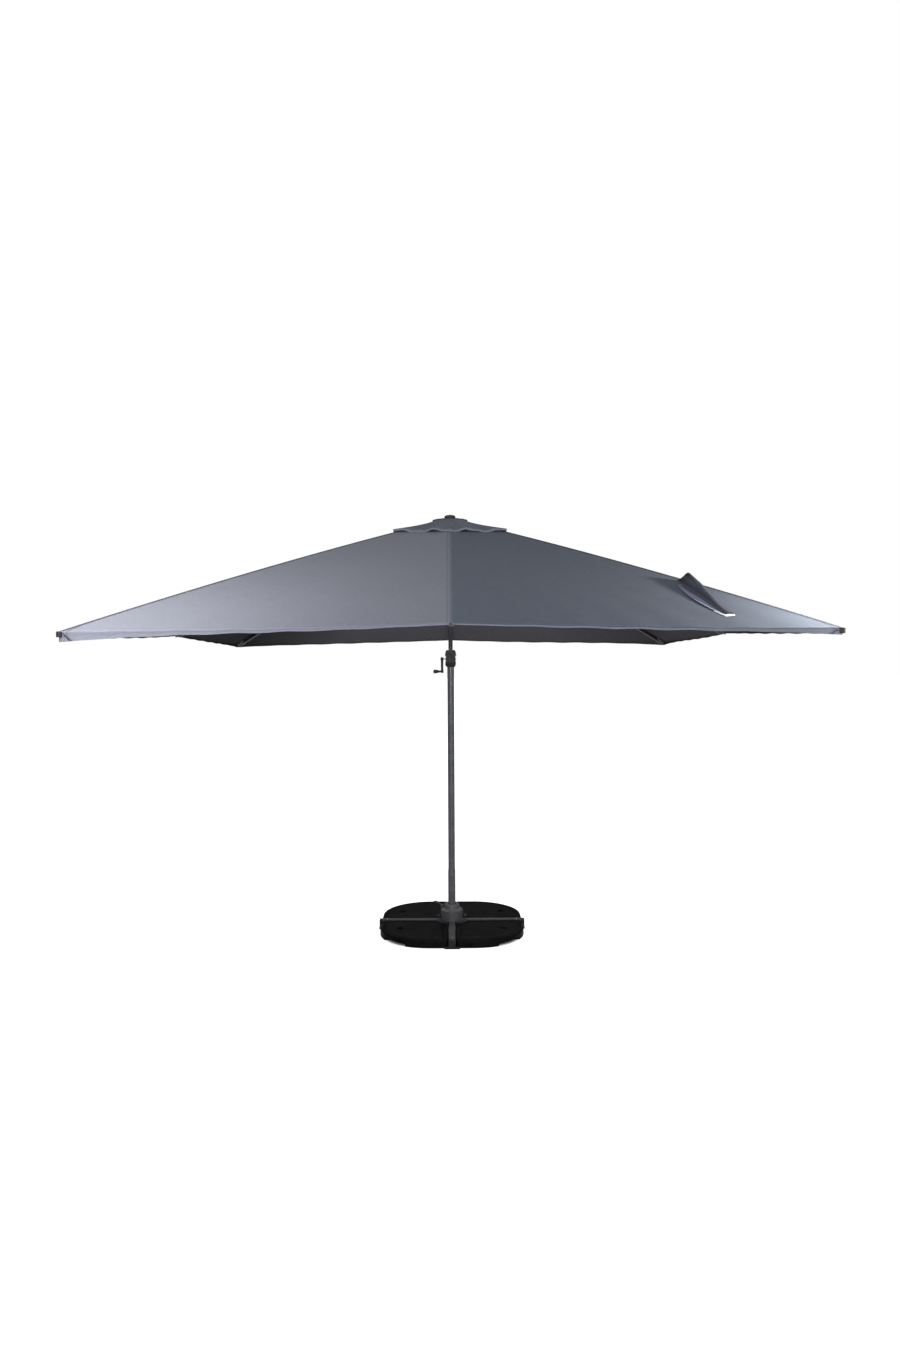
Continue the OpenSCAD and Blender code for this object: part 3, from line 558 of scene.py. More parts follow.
def clothPiece(name, points, maps, toneAndLight=1.0, stitch=1.0, underShade=1.0):
    # open sheet from a grid of points, with its own map in metres, a colour tone into which the canopy and
    # the strap put painted light and shade, a painted shade for the underside (the fourth value) and the
    # distance to a line of stitches
    rows, cols = points.shape[:2]
    mesh = bpy.data.meshes.new(name)
    mesh.from_pydata(points.reshape(-1, 3).tolist(), [], gridFaces(rows, cols).tolist())
    setMap(mesh, maps)
    tonesAndLight = np.ones((rows, cols, 4))
    tonesAndLight[..., :3] = toneAndLight
    tonesAndLight[..., 3] = underShade
    setPointValues(mesh, "toneAndLight", tonesAndLight)
    sewing = np.ones((rows, cols, 4))
    sewing[..., 0] = stitch
    setPointValues(mesh, "stitch", sewing)
    mesh.update()
    normals = np.zeros(len(mesh.polygons) * 3)
    mesh.polygons.foreach_get("normal", normals)
    if normals[2::3].sum() < 0:
        mesh.flip_normals()
    mesh.shade_smooth()
    # edges used by one face only are the sheet's rim, kept crisp
    edges = np.zeros(len(mesh.loops), np.int32)
    mesh.loops.foreach_get("edge_index", edges)
    crisp = mesh.attributes.new("sharp_edge", "BOOLEAN", "EDGE")
    crisp.data.foreach_set("value", np.bincount(edges, minlength=len(mesh.edges)) == 1)
    return linked(name, mesh)


def thicken(piece, thickness, offset=-1.0, underside=0):
    solid = piece.modifiers.new("thickness", "SOLIDIFY")
    solid.thickness = thickness
    solid.offset = offset
    solid.material_offset = underside
    return piece


# panel tones and painted light: front gores painted lighter on the left and darker on the right, as if lit
# from the left; the bands along the corner ribs are darker
goreTonesAndLight = {"left": (1.41, 1.31, 1.25), "right": (0.585, 0.650, 0.690), "band": 0.24, "hemBand": 1.08,
             # the turned hem's faces are painted lighter, most at the right tip: a painted light
             "hemFaceLight": {"left": (1.15, 1.15, 1.15), "right": (2.35, 2.05, 1.78), "tip": 1.0},
             # the underside is painted darker towards the left and, less, the right: a painted shade
             "underShadeLeft": 0.93, "underShadeRight": 0.50, "underShadeFrom": 0.45, "underShadeFade": 0.3,
             "seamBlend": 0.004}
# the hem turns down by these depths; its rows are shares of the depth, drawn in by shares of "tuck"
hem = {"middle": 0.006, "corner": 0.017, "frontLeft": 0.0175, "frontRight": 0.0045, "stitch": 0.019,
       "rows": np.array([0.15, 0.4, 0.6, 0.8, 1.0]), "drawnIn": np.array([0.3, 0.8, 1.0, 1.0, 1.0]),
       "tuck": 0.0016}
# the pocket's seam leaves the band within "reach" of the tip; the fold is where the hem turns round the rib
seam = {"reach": 0.13, "leaves": 0.024, "wide": 0.0022,
        "foldFrom": 0.004, "foldLean": 0.030, "foldWide": 0.0035}


def wedgeGrid(i):
    # angles from rib i and shares of its length: close rows at the hem and close columns by the sewn band
    shares = np.concatenate([np.linspace(canopy["ventHole"] / canopy["half"], 0.9, 40),
                             np.linspace(0.905, 1.0, 22)])
    beside = np.array([0, 0.0050, 0.0092, 0.0105, 0.0115, 0.0125, 0.015, 0.018, 0.022, 0.027, 0.033, 0.040,
                       0.050])
    edge = math.radians(22.5)
    ray = canopy["half"] * shares[:, None] * (math.sqrt(2) if i % 2 else 1.0)
    near = np.arctan2(beside[None, :], ray)
    rest = near[:, -1:] + (edge - near[:, -1:]) * np.linspace(0, 1, 27)[None, 1:]
    oneSide = np.concatenate([near, rest], 1)
    angle = np.concatenate([-oneSide[:, :0:-1], oneSide], 1)
    return angle, np.broadcast_to(shares[:, None], angle.shape)


def withHem(grid, shares):
    # the grid with its last row said again for the hem, times each of the shares
    return np.concatenate([grid, grid[-1:] * shares[:, None]])


def besideBand(aside):
    # one over the sewn band along a rib, and nought beyond it
    return np.clip((canopy["bandHalf"] - aside) / canopy["bandEdge"], 0, 1)


def canopyWedge(i):
    # the sheet that rib i carries, from vent hole to hem, with a sewn band along the rib and a turned hem
    angle, share = wedgeGrid(i)
    x, y = wedgePlan(i, angle, share)
    aside = np.hypot(x, y) * np.sin(np.abs(angle))
    z = clothHeight(x, y) + tension(x, y) + canopy["bandLift"] * besideBand(aside)
    # hem: more rows that turn down, deeper towards the corners, and deepest at the front left one
    rows = hem["rows"]
    w = squarePlace(x[-1], y[-1])[1]
    isFront = (y[-1] < 0) * 1.0
    hemDrop = hem["middle"] + hem["corner"] * w ** 6 \
        + isFront * np.where(x[-1] < 0, hem["frontLeft"], hem["frontRight"]) * w ** 1.3
    x, y = (withHem(v, 1 - hem["tuck"] * hem["drawnIn"]) for v in (x, y))
    z = np.concatenate([z, z[-1:] - rows[:, None] * hemDrop])
    depth = np.concatenate([np.zeros(share.shape), np.repeat(rows[:, None], share.shape[1], 1)])
    share, aside = (withHem(v, np.ones(len(rows))) for v in (share, aside))
    maps = np.stack([alongHem(x, y), share * canopy["half"] + depth * hemDrop], -1)
    # tones and painted light: the front gores painted lighter on the left and darker on the right as if lit
    # from the left, a paler hem band, and the faces of the turned hem painted lighter as if lit, most at the
    # right tip
    rightSide = 1 / (1 + np.exp(-x / goreTonesAndLight["seamBlend"]))[..., None]
    leftLit, rightShaded = np.array(goreTonesAndLight["left"]), np.array(goreTonesAndLight["right"])
    frontish = (y < -np.abs(x))[..., None]
    tonesAndLight = np.where(frontish, leftLit + (rightShaded - leftLit) * rightSide, 1.0)
    hemBand = (share > 1 - canopy["hemBand"] / canopy["half"])[..., None]
    tonesAndLight = np.where(hemBand, tonesAndLight * goreTonesAndLight["hemBand"], tonesAndLight)
    leftFaceLight, rightFaceLight = np.array(goreTonesAndLight["hemFaceLight"]["left"]), np.array(goreTonesAndLight["hemFaceLight"]["right"])
    tipFaceLight = rightFaceLight * (1 + goreTonesAndLight["hemFaceLight"]["tip"] * w[None, :, None] ** 10)
    faceLight = leftFaceLight + (tipFaceLight - leftFaceLight) * rightSide
    tonesAndLight[-len(rows):] *= faceLight[-len(rows):]
    if i % 2:
        # the corner's sewn band, the seam of its pocket, which leaves the band before the tip, and the slit
        # where the hem folds round the rib's end; the slit's darkening is a painted shade
        band = besideBand(aside) * (share < 0.999)
        fromTip = math.sqrt(2) * canopy["half"] * (1 - share)
        seamAside = seam["leaves"] * (1 - fromTip / seam["reach"])
        sewn = np.exp(-((aside - seamAside) / seam["wide"]) ** 2) * (fromTip < seam["reach"])
        foldAside = seam["foldFrom"] + seam["foldLean"] * depth
        fold = np.exp(-((aside - foldAside) / seam["foldWide"]) ** 2) * (depth > 0)
        darkened = np.maximum(band, np.maximum(sewn, 1.5 * fold))[..., None]
        tonesAndLight = tonesAndLight * (1 - (1 - goreTonesAndLight["band"]) * darkened)
    toHem = canopy["half"] * (1 - share) - hem["stitch"]
    toBand = aside - canopy["bandHalf"] - canopy["bandStitch"]
    stitch = np.where(np.abs(toHem) < np.abs(toBand), toHem, toBand)
    # painted shade on the underside: darkest under the left gores and by the hem's corners
    turnedTo = x / np.hypot(x, y)
    fade = goreTonesAndLight["underShadeFade"]
    toLeft, toRight = (np.clip(way * turnedTo - goreTonesAndLight["underShadeFrom"], 0, fade) / fade for way in (-1, 1))
    underShade = 1.0 - goreTonesAndLight["underShadeLeft"] * toLeft - goreTonesAndLight["underShadeRight"] * toRight
    points = np.stack([x, y, z], -1) + hub
    return clothPiece("cloth_" + sides[i], points, maps, np.clip(tonesAndLight, 0.05, None), stitch, underShade)


def wedgeDirections(i):
    turn = math.radians(45 * i)
    return np.array([math.cos(turn), math.sin(turn), 0]), np.array([-math.sin(turn), math.cos(turn), 0])


def foldWith(piece):
    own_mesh(piece)


for i, side in enumerate(sides):
    wedge = canopyWedge(i)
    thicken(wedge, canopy["thick"], underside=1)
    finish(wedge, "canopy_cloth", "rib_" + side, ["canopy_" + side], [underCloth])
    foldWith(wedge)
    width, length = (1.26, 1.42) if i % 2 == 0 else (1.78, 2.02)
print("canopy sheets made")


# vent cap: the hem's rows are shares of its depth, and "drawnIn" is how far out each of them stands
vent = {"inner": 0.0128, "dip": 0.009, "fold": 0.0058, "hem": 0.010, "stitch": 0.014, "toneAndLight": 0.80,
        "hemTone": 1.3, "rows": np.array([0.35, 0.75, 1.0]), "drawnIn": np.array([1.002, 1.0, 0.994]),
        "underCrown": 0.93}
# the crown is open round the arm's stem and pleated between "pleatFrom" and its edge
crownShape = {"open": 0.0140, "plainTo": 0.080, "pleatFrom": 0.0850, "below": 0.0050, "dome": 0.0085,
              "pleat": 0.0012, "toneAndLight": 0.95}


def ventFlap(i):
    # one sector of the vent cap. Height: a straight line from crown to edge, less a dip that is deepest near
    # the crown, plus folds that run outwards and grow with the share; the last rows turn down as the hem
    steps = np.concatenate([np.linspace(0, 0.9, 22), np.linspace(0.92, 1.0, 7)])
    angles = np.radians(22.5) * np.linspace(-1, 1, 65)
    step, angle = np.meshgrid(steps, angles, indexing="ij")
    turn = np.radians(45 * i) + angle
    edgeX, edgeY = wedgePlan(i, angle, np.full_like(angle, canopy["ventHalf"] / canopy["half"]))
    inner = canopy["crownRadius"] * vent["underCrown"]
    innerX, innerY = inner * np.cos(turn), inner * np.sin(turn)
    w = squarePlace(edgeX, edgeY)[1]
    alongSide = alongHem(edgeX, edgeY) / canopy["ventHalf"]
    facing = np.where(np.abs(edgeX) > np.abs(edgeY), np.sign(edgeX), 2 * np.sign(edgeY))
    folds = np.sin(10.4 * alongSide + 0.9 * facing) + 0.45 * np.sin(23 * alongSide + 2.1 * facing)
    folds = folds * (1 - w ** 6)
    spread = 1 + 0.012 * folds * step ** 2
    x, y = innerX + (edgeX * spread - innerX) * step, innerY + (edgeY * spread - innerY) * step
    innerZ = canopy["peak"] - vent["inner"]
    outerZ = clothHeight(edgeX, edgeY) + canopy["ventLift"] - 0.002 * np.sin(np.pi * w)
    z = (innerZ + (outerZ - innerZ) * step - vent["dip"] * np.sin(np.pi * step ** 0.65)
         + vent["fold"] * folds * step ** 1.6)
    x, y = (withHem(v, vent["drawnIn"]) for v in (x, y))
    z = np.concatenate([z, z[-1:] - vent["rows"][:, None] * vent["hem"]])
    step = withHem(step, np.ones(len(vent["rows"])))
    reach = step * canopy["ventHalf"]
    toneAndLight = np.where(step > 0.95, vent["hemTone"], vent["toneAndLight"])[..., None]
    maps = np.stack([alongHem(x, y), reach], -1)
    return clothPiece("ventFlap_" + sides[i], np.stack([x, y, z], -1) + hub, maps, toneAndLight,
                      canopy["ventHalf"] - vent["stitch"] - reach)


def ventCrown():
    # shallow dome of cloth over the hub, pleated towards its edge, open at the middle for the arm's stem
    radii = np.concatenate([np.linspace(crownShape["open"], crownShape["plainTo"], 16),
                            np.linspace(crownShape["pleatFrom"], canopy["crownRadius"], 6)])
    turn = np.linspace(0, 2 * np.pi, 129)
    radius, angle = np.meshgrid(radii, turn, indexing="ij")
    out = (radius / canopy["crownRadius"]) ** 2
    z = canopy["peak"] - crownShape["below"] - crownShape["dome"] * out \
        + crownShape["pleat"] * out * np.cos(8 * angle) ** 2
    maps = np.stack([radius * np.cos(angle), radius * np.sin(angle)], -1)
    points = np.concatenate([maps, z[..., None]], -1) + hub
    return clothPiece("ventCrown", points, maps, crownShape["toneAndLight"])


for i, side in enumerate(sides):
    flap = ventFlap(i)
    thicken(flap, canopy["thick"], underside=1)
    finish(flap, "canopy_cloth", "rib_" + side, [], [underCloth])
    foldWith(flap)
crown = ventCrown()
thicken(crown, canopy["thick"], underside=1)
finish(crown, "canopy_cloth", "arm", ["vent_crown"], [underCloth])
print("vent cap made")

# tip pockets: the corner ones stop short of the tip by more, are wider and hang lower
pocket = {"long": 0.075, "wide": 0.050, "deep": 0.026, "below": 0.0022, "stitch": 0.006, "keep": 0.6,
          "corner": {"short": 0.024, "slim": 1.1, "hang": 0.5},
          "middle": {"short": 0.004, "slim": 0.6, "hang": 0.05}}
# plugs in the ribs' ends: length, half width and depth of each size
plug = {"corner": (0.036, 0.010, 0.0230), "middle": (0.020, 0.006, 0.0075), "edge": 0.002, "above": 0.0016,
        "past": 0.0045}
upwards = np.array([0, 0, 1.0])


def ribEnd(i):
    # length of rib i in plan and the bend of its line
    if i % 2:
        return canopy["half"] * math.sqrt(2), canopy["cornerBow"]
    return canopy["half"], canopy["middleBow"]


def tipPocket(i):
    # flattened sleeve of cloth that holds the rib's tip: an oval section that narrows inwards along the rib
    kind = pocket["corner" if i % 2 else "middle"]
    out, across = wedgeDirections(i)
    length, bow = ribEnd(i)
    run = np.linspace(0, 1, 14)
    reach = length - kind["short"] - pocket["long"] * (1 - run)
    hang = canopy["fall"] / length * 0.3 * pocket["wide"] * kind["hang"]
    top = ribLine(reach / length, bow) - pocket["below"] - hang
    swell = np.sqrt(np.clip(np.minimum(run / 0.35, (1.0 - run) / 0.10), 0.05, 1))[:, None, None]
    turn = np.linspace(0, 2 * np.pi, 24, endpoint=False)
    half = pocket["wide"] * kind["slim"] / 2
    low = pocket["deep"] * min(kind["slim"], 1) / 2 * (np.sin(turn) - 1)
    rings = (np.outer(reach, out)[:, None, :] + hub + (half * np.cos(turn))[None, :, None] * swell * across
             + low[None, :, None] * swell * upwards + top[:, None, None] * upwards)
    piece = loft("tipPocket_" + sides[i], rings, 60)
    spots = vertexPoints(piece.data) - hub
    setMap(piece.data, np.stack([spots @ across, spots @ out], -1))
    setPointValues(piece.data, "toneAndLight", np.ones((len(spots), 4)))
    sewing = np.ones((len(spots), 4))
    sewing[:, 0] = np.abs(spots @ across) - half + pocket["stitch"]
    setPointValues(piece.data, "stitch", sewing)
    return piece


def tipPlug(i):
    # black plug in the rib's end, which shows above the pocket at the corner of the hem
    out = wedgeDirections(i)[0]
    length, bow = ribEnd(i)
    top = float(ribLine(1.0, bow)) + plug["above"]
    long, half, deep = plug["corner" if i % 2 else "middle"]
    piece = softBlock("tipPlug_" + sides[i], (-long, -half, -deep), (0.0, half, 0.0), half / 2, plug["edge"])
    return placed(piece, math.radians(45 * i), tuple(hub + out * (length + plug["past"]) + upwards * top))


for i, side in enumerate(sides):
    piece = finish(tipPocket(i), "canopy_cloth", "rib_" + side)
    piece.data.materials[0] = underCloth
    foldWith(piece)
    finish(tipPlug(i), "black_plastic", "rib_" + side)
print("tip pockets made")

# tie strap, folded lengthways: its left and right edges in plan, the place and height of its ridge, and
# where the upper layer ends over the lower one, all along the strap
strap = {
    "along": (0.0, 0.28, 0.52, 0.75, 1.0),
    "left": ((0.964, -1.070), (0.975, -1.178), (0.996, -1.248), (1.030, -1.318), (1.084, -1.398)),
    "right": ((1.040, -1.045), (1.066, -1.150), (1.078, -1.235), (1.090, -1.310), (1.117, -1.388)),
    "ridge": (0.66, 0.72, 0.72, 0.66, 0.60),
    "height": (0.0405, 0.0330, 0.0215, 0.0105, 0.0035),
    "lip": (0.02, 0.30, 0.44, 0.40, 0.12),
    "lipHeight": (0.0220, 0.0085, 0.0060, 0.0050, 0.0040),
    "thick": 0.0016, "width": 0.20, "length": 0.36}


def smoothAlong(u, values):
    # values at the strap's stations, joined by a curve: straight lines between them, then averaged nearby
    wide = np.clip(np.asarray(u)[..., None] + np.linspace(-0.09, 0.09, 13), 0, 1)
    return np.interp(wide, strap["along"], values).mean(-1)


def strapEdges(u):
    # plan places of the strap's left and right edges
    return [smoothAlong(u, [spot[k] for spot in strap[edge]]) for edge in ("left", "right") for k in (0, 1)]


def strapPoints(u, t):
    # t runs across the folded strap: from the left edge along the cloth to the right edge, back up over the
    # ridge and down to the lip. The section is a uniform cubic spline through control points of (share of
    # the width, height)
    leftX, leftY, rightX, rightY = strapEdges(u)
    ridge, high = smoothAlong(u, strap["ridge"]), smoothAlong(u, strap["height"])
    lip, lipHigh = smoothAlong(u, strap["lip"]), smoothAlong(u, strap["lipHeight"])
    curl = 0.0042 * np.sin(np.pi * np.clip(u * 1.15, 0, 1))
    still = 0 * u
    control = [(still, 0.0034 + curl), (still, 0.0034 + curl), (0.10 + still, 0.0030 + 0.3 * curl),
               (0.5 + still, 0.0026 + still), (0.96 + still, 0.0026 + still),
               (1.03 + still, 0.004 + 0.10 * high), (0.97 + still, 0.006 + 0.55 * high),
               (ridge + 0.10, 0.006 + 1.05 * high),
               (ridge - 0.06, 0.006 + 1.10 * high), ((ridge + lip) / 2, 0.005 + 0.45 * high + 0.5 * lipHigh),
               (lip + 0.02, 0.001 + lipHigh), (lip, 0.0005 + lipHigh), (lip, 0.0005 + lipHigh)]
    place = np.clip(t, 0, 1 - 1e-9) * (len(control) - 3)
    cell = np.floor(place).astype(int)
    # the pull of the four control points round a place, by the share f of the way to the next one
    f = place - cell
    pulls = [(1 - f) ** 3 / 6, (3 * f ** 3 - 6 * f ** 2 + 4) / 6, (-3 * f ** 3 + 3 * f ** 2 + 3 * f + 1) / 6,
             f ** 3 / 6]
    table = np.array(control)
    grid = np.indices(u.shape)
    across, lift = (sum(pull * table[cell + k, part, grid[0], grid[1]] for k, pull in enumerate(pulls))
                    for part in (0, 1))
    x = leftX + across * (rightX - leftX)
    y = leftY + across * (rightY - leftY)
    creases = 0.0011 * np.sin(9 * u + 14 * t) * np.clip(lift / 0.02, 0, 1)
    maps = np.stack([t * strap["width"], u * strap["length"]], -1)
    return np.stack([x, y, clothHeight(x, y) + lift + creases], -1) + hub, maps


u, t = np.meshgrid(np.linspace(0, 1, 64), np.linspace(0, 1, 90), indexing="ij")
points, maps = strapPoints(u, t)
rim = np.minimum(np.minimum(u, 1 - u) * strap["length"], np.minimum(t, 1 - t) * strap["width"])
lowerLayer = 1 / (1 + np.exp((t - 0.25) / 0.02))
# painted light and shade: the lower layer painted lighter as if lit, streaks painted lighter and darker along
# the creases as their shading, the mouth of the fold at the strap's upper end painted dark as shade, and a
# paler rim
streaks = 1 + 0.28 * np.sin(34 * t + 5 * u) * (t > 0.3) - 0.72 * np.exp(-(u / 0.13) ** 2) * (t > 0.62)
strapToneAndLight = (0.66 + 2.3 * lowerLayer + 0.20 * (rim < 0.006)) * streaks
strapToneAndLight = strapToneAndLight[..., None] * np.array([0.96, 1.0, 1.14])
band = clothPiece("tieStrapBand", points, maps, strapToneAndLight, rim - 0.006)
thicken(band, strap["thick"], offset=0)
finish(band, "strap_cloth", "rib_front_right", ["tie_strap"])
foldWith(band)

# pad of hook-and-loop tape under the strap's lower end: it shows along the left edge and beyond the end
tape = {"from": 0.84, "strapEnd": 0.86, "left": 0.003, "front": 0.001, "right": 0.003, "past": 0.006,
        "above": 0.0012, "puff": 0.0016}
u, t = np.meshgrid(np.linspace(0, 1, 24), np.linspace(0, 1, 14), indexing="ij")
reach = tape["from"] + (1 - tape["from"]) * u / tape["strapEnd"]
inside = np.clip((u - 0.62) / 0.26, 0.05, 1.0)
leftX, leftY, rightX, rightY = strapEdges(reach)
past = np.clip(u - 0.90, 0, None) / 0.10 * tape["past"]
x = leftX - tape["left"] + t * inside * (rightX - leftX + tape["left"] + tape["right"]) + 0.3 * past
y = leftY - tape["front"] + t * inside * (rightY - leftY) - past
soft = np.minimum(np.minimum(t, 1 - t) / 0.08, np.minimum(u, 1 - u) / 0.06).clip(0, 1)
points = np.stack([x, y, clothHeight(x, y) + tape["above"] + tape["puff"] * soft], -1) + hub
pad = clothPiece("strapPad", points, np.stack([x, y], -1))
thicken(pad, strap["thick"], offset=1)
finish(pad, "strap_cloth", "rib_front_right")
pad.data.materials[0] = velcro
foldWith(pad)
print("tie strap made")

# lift cord: braid between the hub and the runner, slightly waisted and bulged along its strands
cordRadius = 0.0025
low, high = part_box("lift_cord")
rise = np.linspace(low.z, high.z, 120)
turn = np.linspace(0, 2 * np.pi, 28, endpoint=False)
radius = cordRadius * (1 - 0.05 * (1 + np.cos(4 * turn[None, :] + 260 * rise[:, None])) / 2)
level = np.repeat(rise[:, None], len(turn), 1)
rings = np.stack([hub[0] + radius * np.cos(turn), hub[1] + radius * np.sin(turn), level], -1)
cordPiece = loft("liftCord", rings, 60)
spots = vertexPoints(cordPiece.data) - hub
setMap(cordPiece.data, np.stack([np.arctan2(spots[:, 1], spots[:, 0]) * cordRadius, spots[:, 2]], -1))
cordPiece.data.materials.append(finishes["cord"])
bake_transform(cordPiece)
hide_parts("lift_cord")
print("lift cord made")

# weights: rounded quarter outline with a bite for the foot cover, rounded top edge, groove and grip undercut;
# the groove is rows of (distance inwards from the rounded edge, depth)
weight = {"half": 0.508, "gap": 0.026, "corner": 0.350, "bite": 0.106, "top": 0.058, "round": 0.014,
          "soft": 0.020, "gripReach": 0.105, "gripDepth": 0.045, "gripFade": 0.030,
          "groove": ((0.0100, 0.0), (0.0115, 0.0010), (0.0130, 0.0028), (0.0150, 0.0034), (0.0170, 0.0028),
                     (0.0185, 0.0010), (0.020, 0.0), (0.045, 0.0))}


def weightOutline(cut):
    # anticlockwise at the inset cut: near side, small corner arc, outer side, wide arc, and the mirror
    # image, then the arc round the foot cover; straight sides move in by the cut, the outer radii shrink by
    # it and the inner one grows
    side, far = weight["gap"] + cut, weight["half"] - cut
    wide, bite = weight["corner"] - cut, weight["bite"] + cut
    soft = max(weight["soft"] - cut, 0.0006)
    reach = math.sqrt(bite ** 2 - side ** 2)
    small = np.linspace(-np.pi / 2, 0, 10)
    start = np.stack([np.linspace(reach, far - soft, 22), np.full(22, side)], -1)[:-1]
    corner = np.stack([far - soft + soft * np.cos(small), side + soft + soft * np.sin(small)], -1)
    centre = weight["half"] - weight["corner"]
    rise = np.stack([np.full(8, far), np.linspace(side + soft, centre, 8)], -1)[1:-1]
    half = np.concatenate([start, corner, rise])
    arc = np.linspace(0, np.pi / 2, 64)
    outer = np.stack([centre + wide * np.cos(arc), centre + wide * np.sin(arc)], -1)
    low = math.atan2(side, reach)
    turn = np.linspace(np.pi / 2 - low, low, 20)[1:-1]
    inner = np.stack([bite * np.cos(turn), bite * np.sin(turn)], -1)
    return np.concatenate([half, outer, half[::-1, ::-1], inner])


def weightTank(name, quarter):
    turn = np.linspace(0, np.pi / 2, 8)
    top, edge = weight["top"], weight["round"]
    # levels of (height, inset, share of the grip's undercut)
    levels = [(0.0022, 0.004, 1), (0.0022, 0.0015, 1), (0.0040, 0.0, 1), (0.0235, 0.0, 1), (0.0245, 0.0, 0)]
    levels += [(top - edge + edge * math.sin(t), edge * (1 - math.cos(t)), 0) for t in turn]
    levels += [(top - deep, edge + inwards, 0) for inwards, deep in weight["groove"]]
    plain = weightOutline(0.0)
    diagonal = (plain[:, 0] + plain[:, 1]) / math.sqrt(2)
    offAxis = np.abs(plain[:, 0] - plain[:, 1]) / math.sqrt(2)
    grip = np.clip((weight["gripReach"] - offAxis) / weight["gripFade"], 0, 1) * (diagonal > 0.45)
    grip = grip * weight["gripDepth"]
    rings = []
    for z, cut, gripped in levels:
        flat = weightOutline(cut) - (grip * gripped / math.sqrt(2))[:, None]
        rings.append(np.concatenate([flat, np.full((len(flat), 1), z)], 1))
    return placed(loft(name, np.array(rings), 40), quarter * math.pi / 2)


quarters = ["rear_right", "rear_left", "front_left", "front_right"]
for k, quarter in enumerate(quarters):
    finish(weightTank("weightTank_" + quarter, k), "weight_plastic", "base", ["weight_" + quarter])
print("weights made")

# crank: tapered oval lever with a round boss at each end, and a grip that swells towards its end
crank = {"x": -0.0620, "thick": (0.0092, 0.0080), "wide": (0.0130, 0.0105), "waist": 0.0022, "boss": 0.0105,
         "bossTop": 0.0135, "bossLow": 0.0108, "gripThin": 0.0062, "gripThick": 0.0138, "seat": 0.0008,
         "shaftBelow": 0.013, "pastTop": 0.012, "pastLow": 0.010, "rounded": 0.09}
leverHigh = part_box("crank_arm")[1]
gripLow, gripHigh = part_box("crank_grip")
shaftY, topZ = (gripLow.y + gripHigh.y) / 2, leverHigh.z - crank["shaftBelow"]
lowZ = (gripLow.z + gripHigh.z) / 2
run = np.linspace(0, 1, 30)
turn = np.linspace(0, 2 * np.pi, 32, endpoint=False)
thick = crank["thick"][0] + (crank["thick"][1] - crank["thick"][0]) * run
wide = crank["wide"][0] + (crank["wide"][1] - crank["wide"][0]) * run - crank["waist"] * np.sin(np.pi * run)
toEnd = np.clip((crank["rounded"] - np.minimum(run, 1 - run)) / crank["rounded"], 0, 1)
end = np.sqrt(np.clip(1 - toEnd ** 2, 0.02, 1))
height = (topZ + crank["pastTop"]) + (lowZ - crank["pastLow"] - topZ - crank["pastTop"]) * run
section = [crank["x"] + (thick * end)[:, None] * np.cos(turn), shaftY + (wide * end)[:, None] * np.sin(turn)]
lever = loft("lever", np.stack(section + [np.repeat(height[:, None], len(turn), 1)], -1))
bosses = []
for z, size in ((topZ, crank["bossTop"]), (lowZ, crank["bossLow"])):
    # half a boss: flat face, then an edge rounded in two steps; the other half is its mirror image
    faces = [(0.002, 0.0), (size - 0.003, 0.0), (size - 0.0008, 0.0012), (size, 0.0035)]
    profile = [(radius, inwards - crank["boss"]) for radius, inwards in faces]
    profile += [(radius, crank["boss"] - inwards) for radius, inwards in faces[::-1]]
    bosses.append(lathe("boss", profile, (crank["x"], shaftY, z)))
finish(joined("crankLever", [lever] + bosses), "black_plastic", "crank", ["crank_arm"])
length = gripHigh.x - gripLow.x
share = np.linspace(0, 1, 40)
swell = 0.5 - 0.5 * np.cos(np.pi * np.clip(share / 0.78, 0, 1))
radius = crank["gripThin"] + (crank["gripThick"] - crank["gripThin"]) * swell
roundEnd = np.sqrt(np.clip(1 - np.clip((share - 0.84) / 0.16, 0, 1) ** 2, 0.004, 1))
gripProfile = np.stack([radius * roundEnd, -share * length], -1)
grip = lathe("crankGrip", gripProfile, (gripHigh.x - crank["seat"], shaftY, lowZ))
finish(grip, "black_plastic", "grip", ["crank_grip"])
print("crank made")


# crank case: how far its sides stand out from the middle at each height, as a share of the full width
caseShape = {"core": 0.0275,
             "height": (1.890, 1.895, 1.901, 1.909, 1.924, 1.940, 1.966, 1.980, 1.992, 2.002, 2.009, 2.013),
             "share": (0.0, 0.42, 0.80, 1.0, 1.0, 0.72, 0.72, 1.0, 1.0, 0.78, 0.40, 0.0)}


# mast tube: its outside is beyond this radius, and the paint makes it wider
mast = {"outside": 0.023, "wider": 1.03}


def shapeCase(tidy):
    # cuts the case at each of the heights and draws its sides in to the share there
    for height in caseShape["height"][1:-1]:
        everything = tidy.verts[:] + tidy.edges[:] + tidy.faces[:]
        bmesh.ops.bisect_plane(tidy, geom=everything, plane_co=(0, 0, height), plane_no=(0, 0, 1), dist=1e-6)
    for vert in tidy.verts:
        beyond = abs(vert.co.x) - caseShape["core"]
        if beyond > 0:
            share = float(np.interp(vert.co.z, caseShape["height"], caseShape["share"]))
            vert.co.x = math.copysign(caseShape["core"] + beyond * share, vert.co.x)


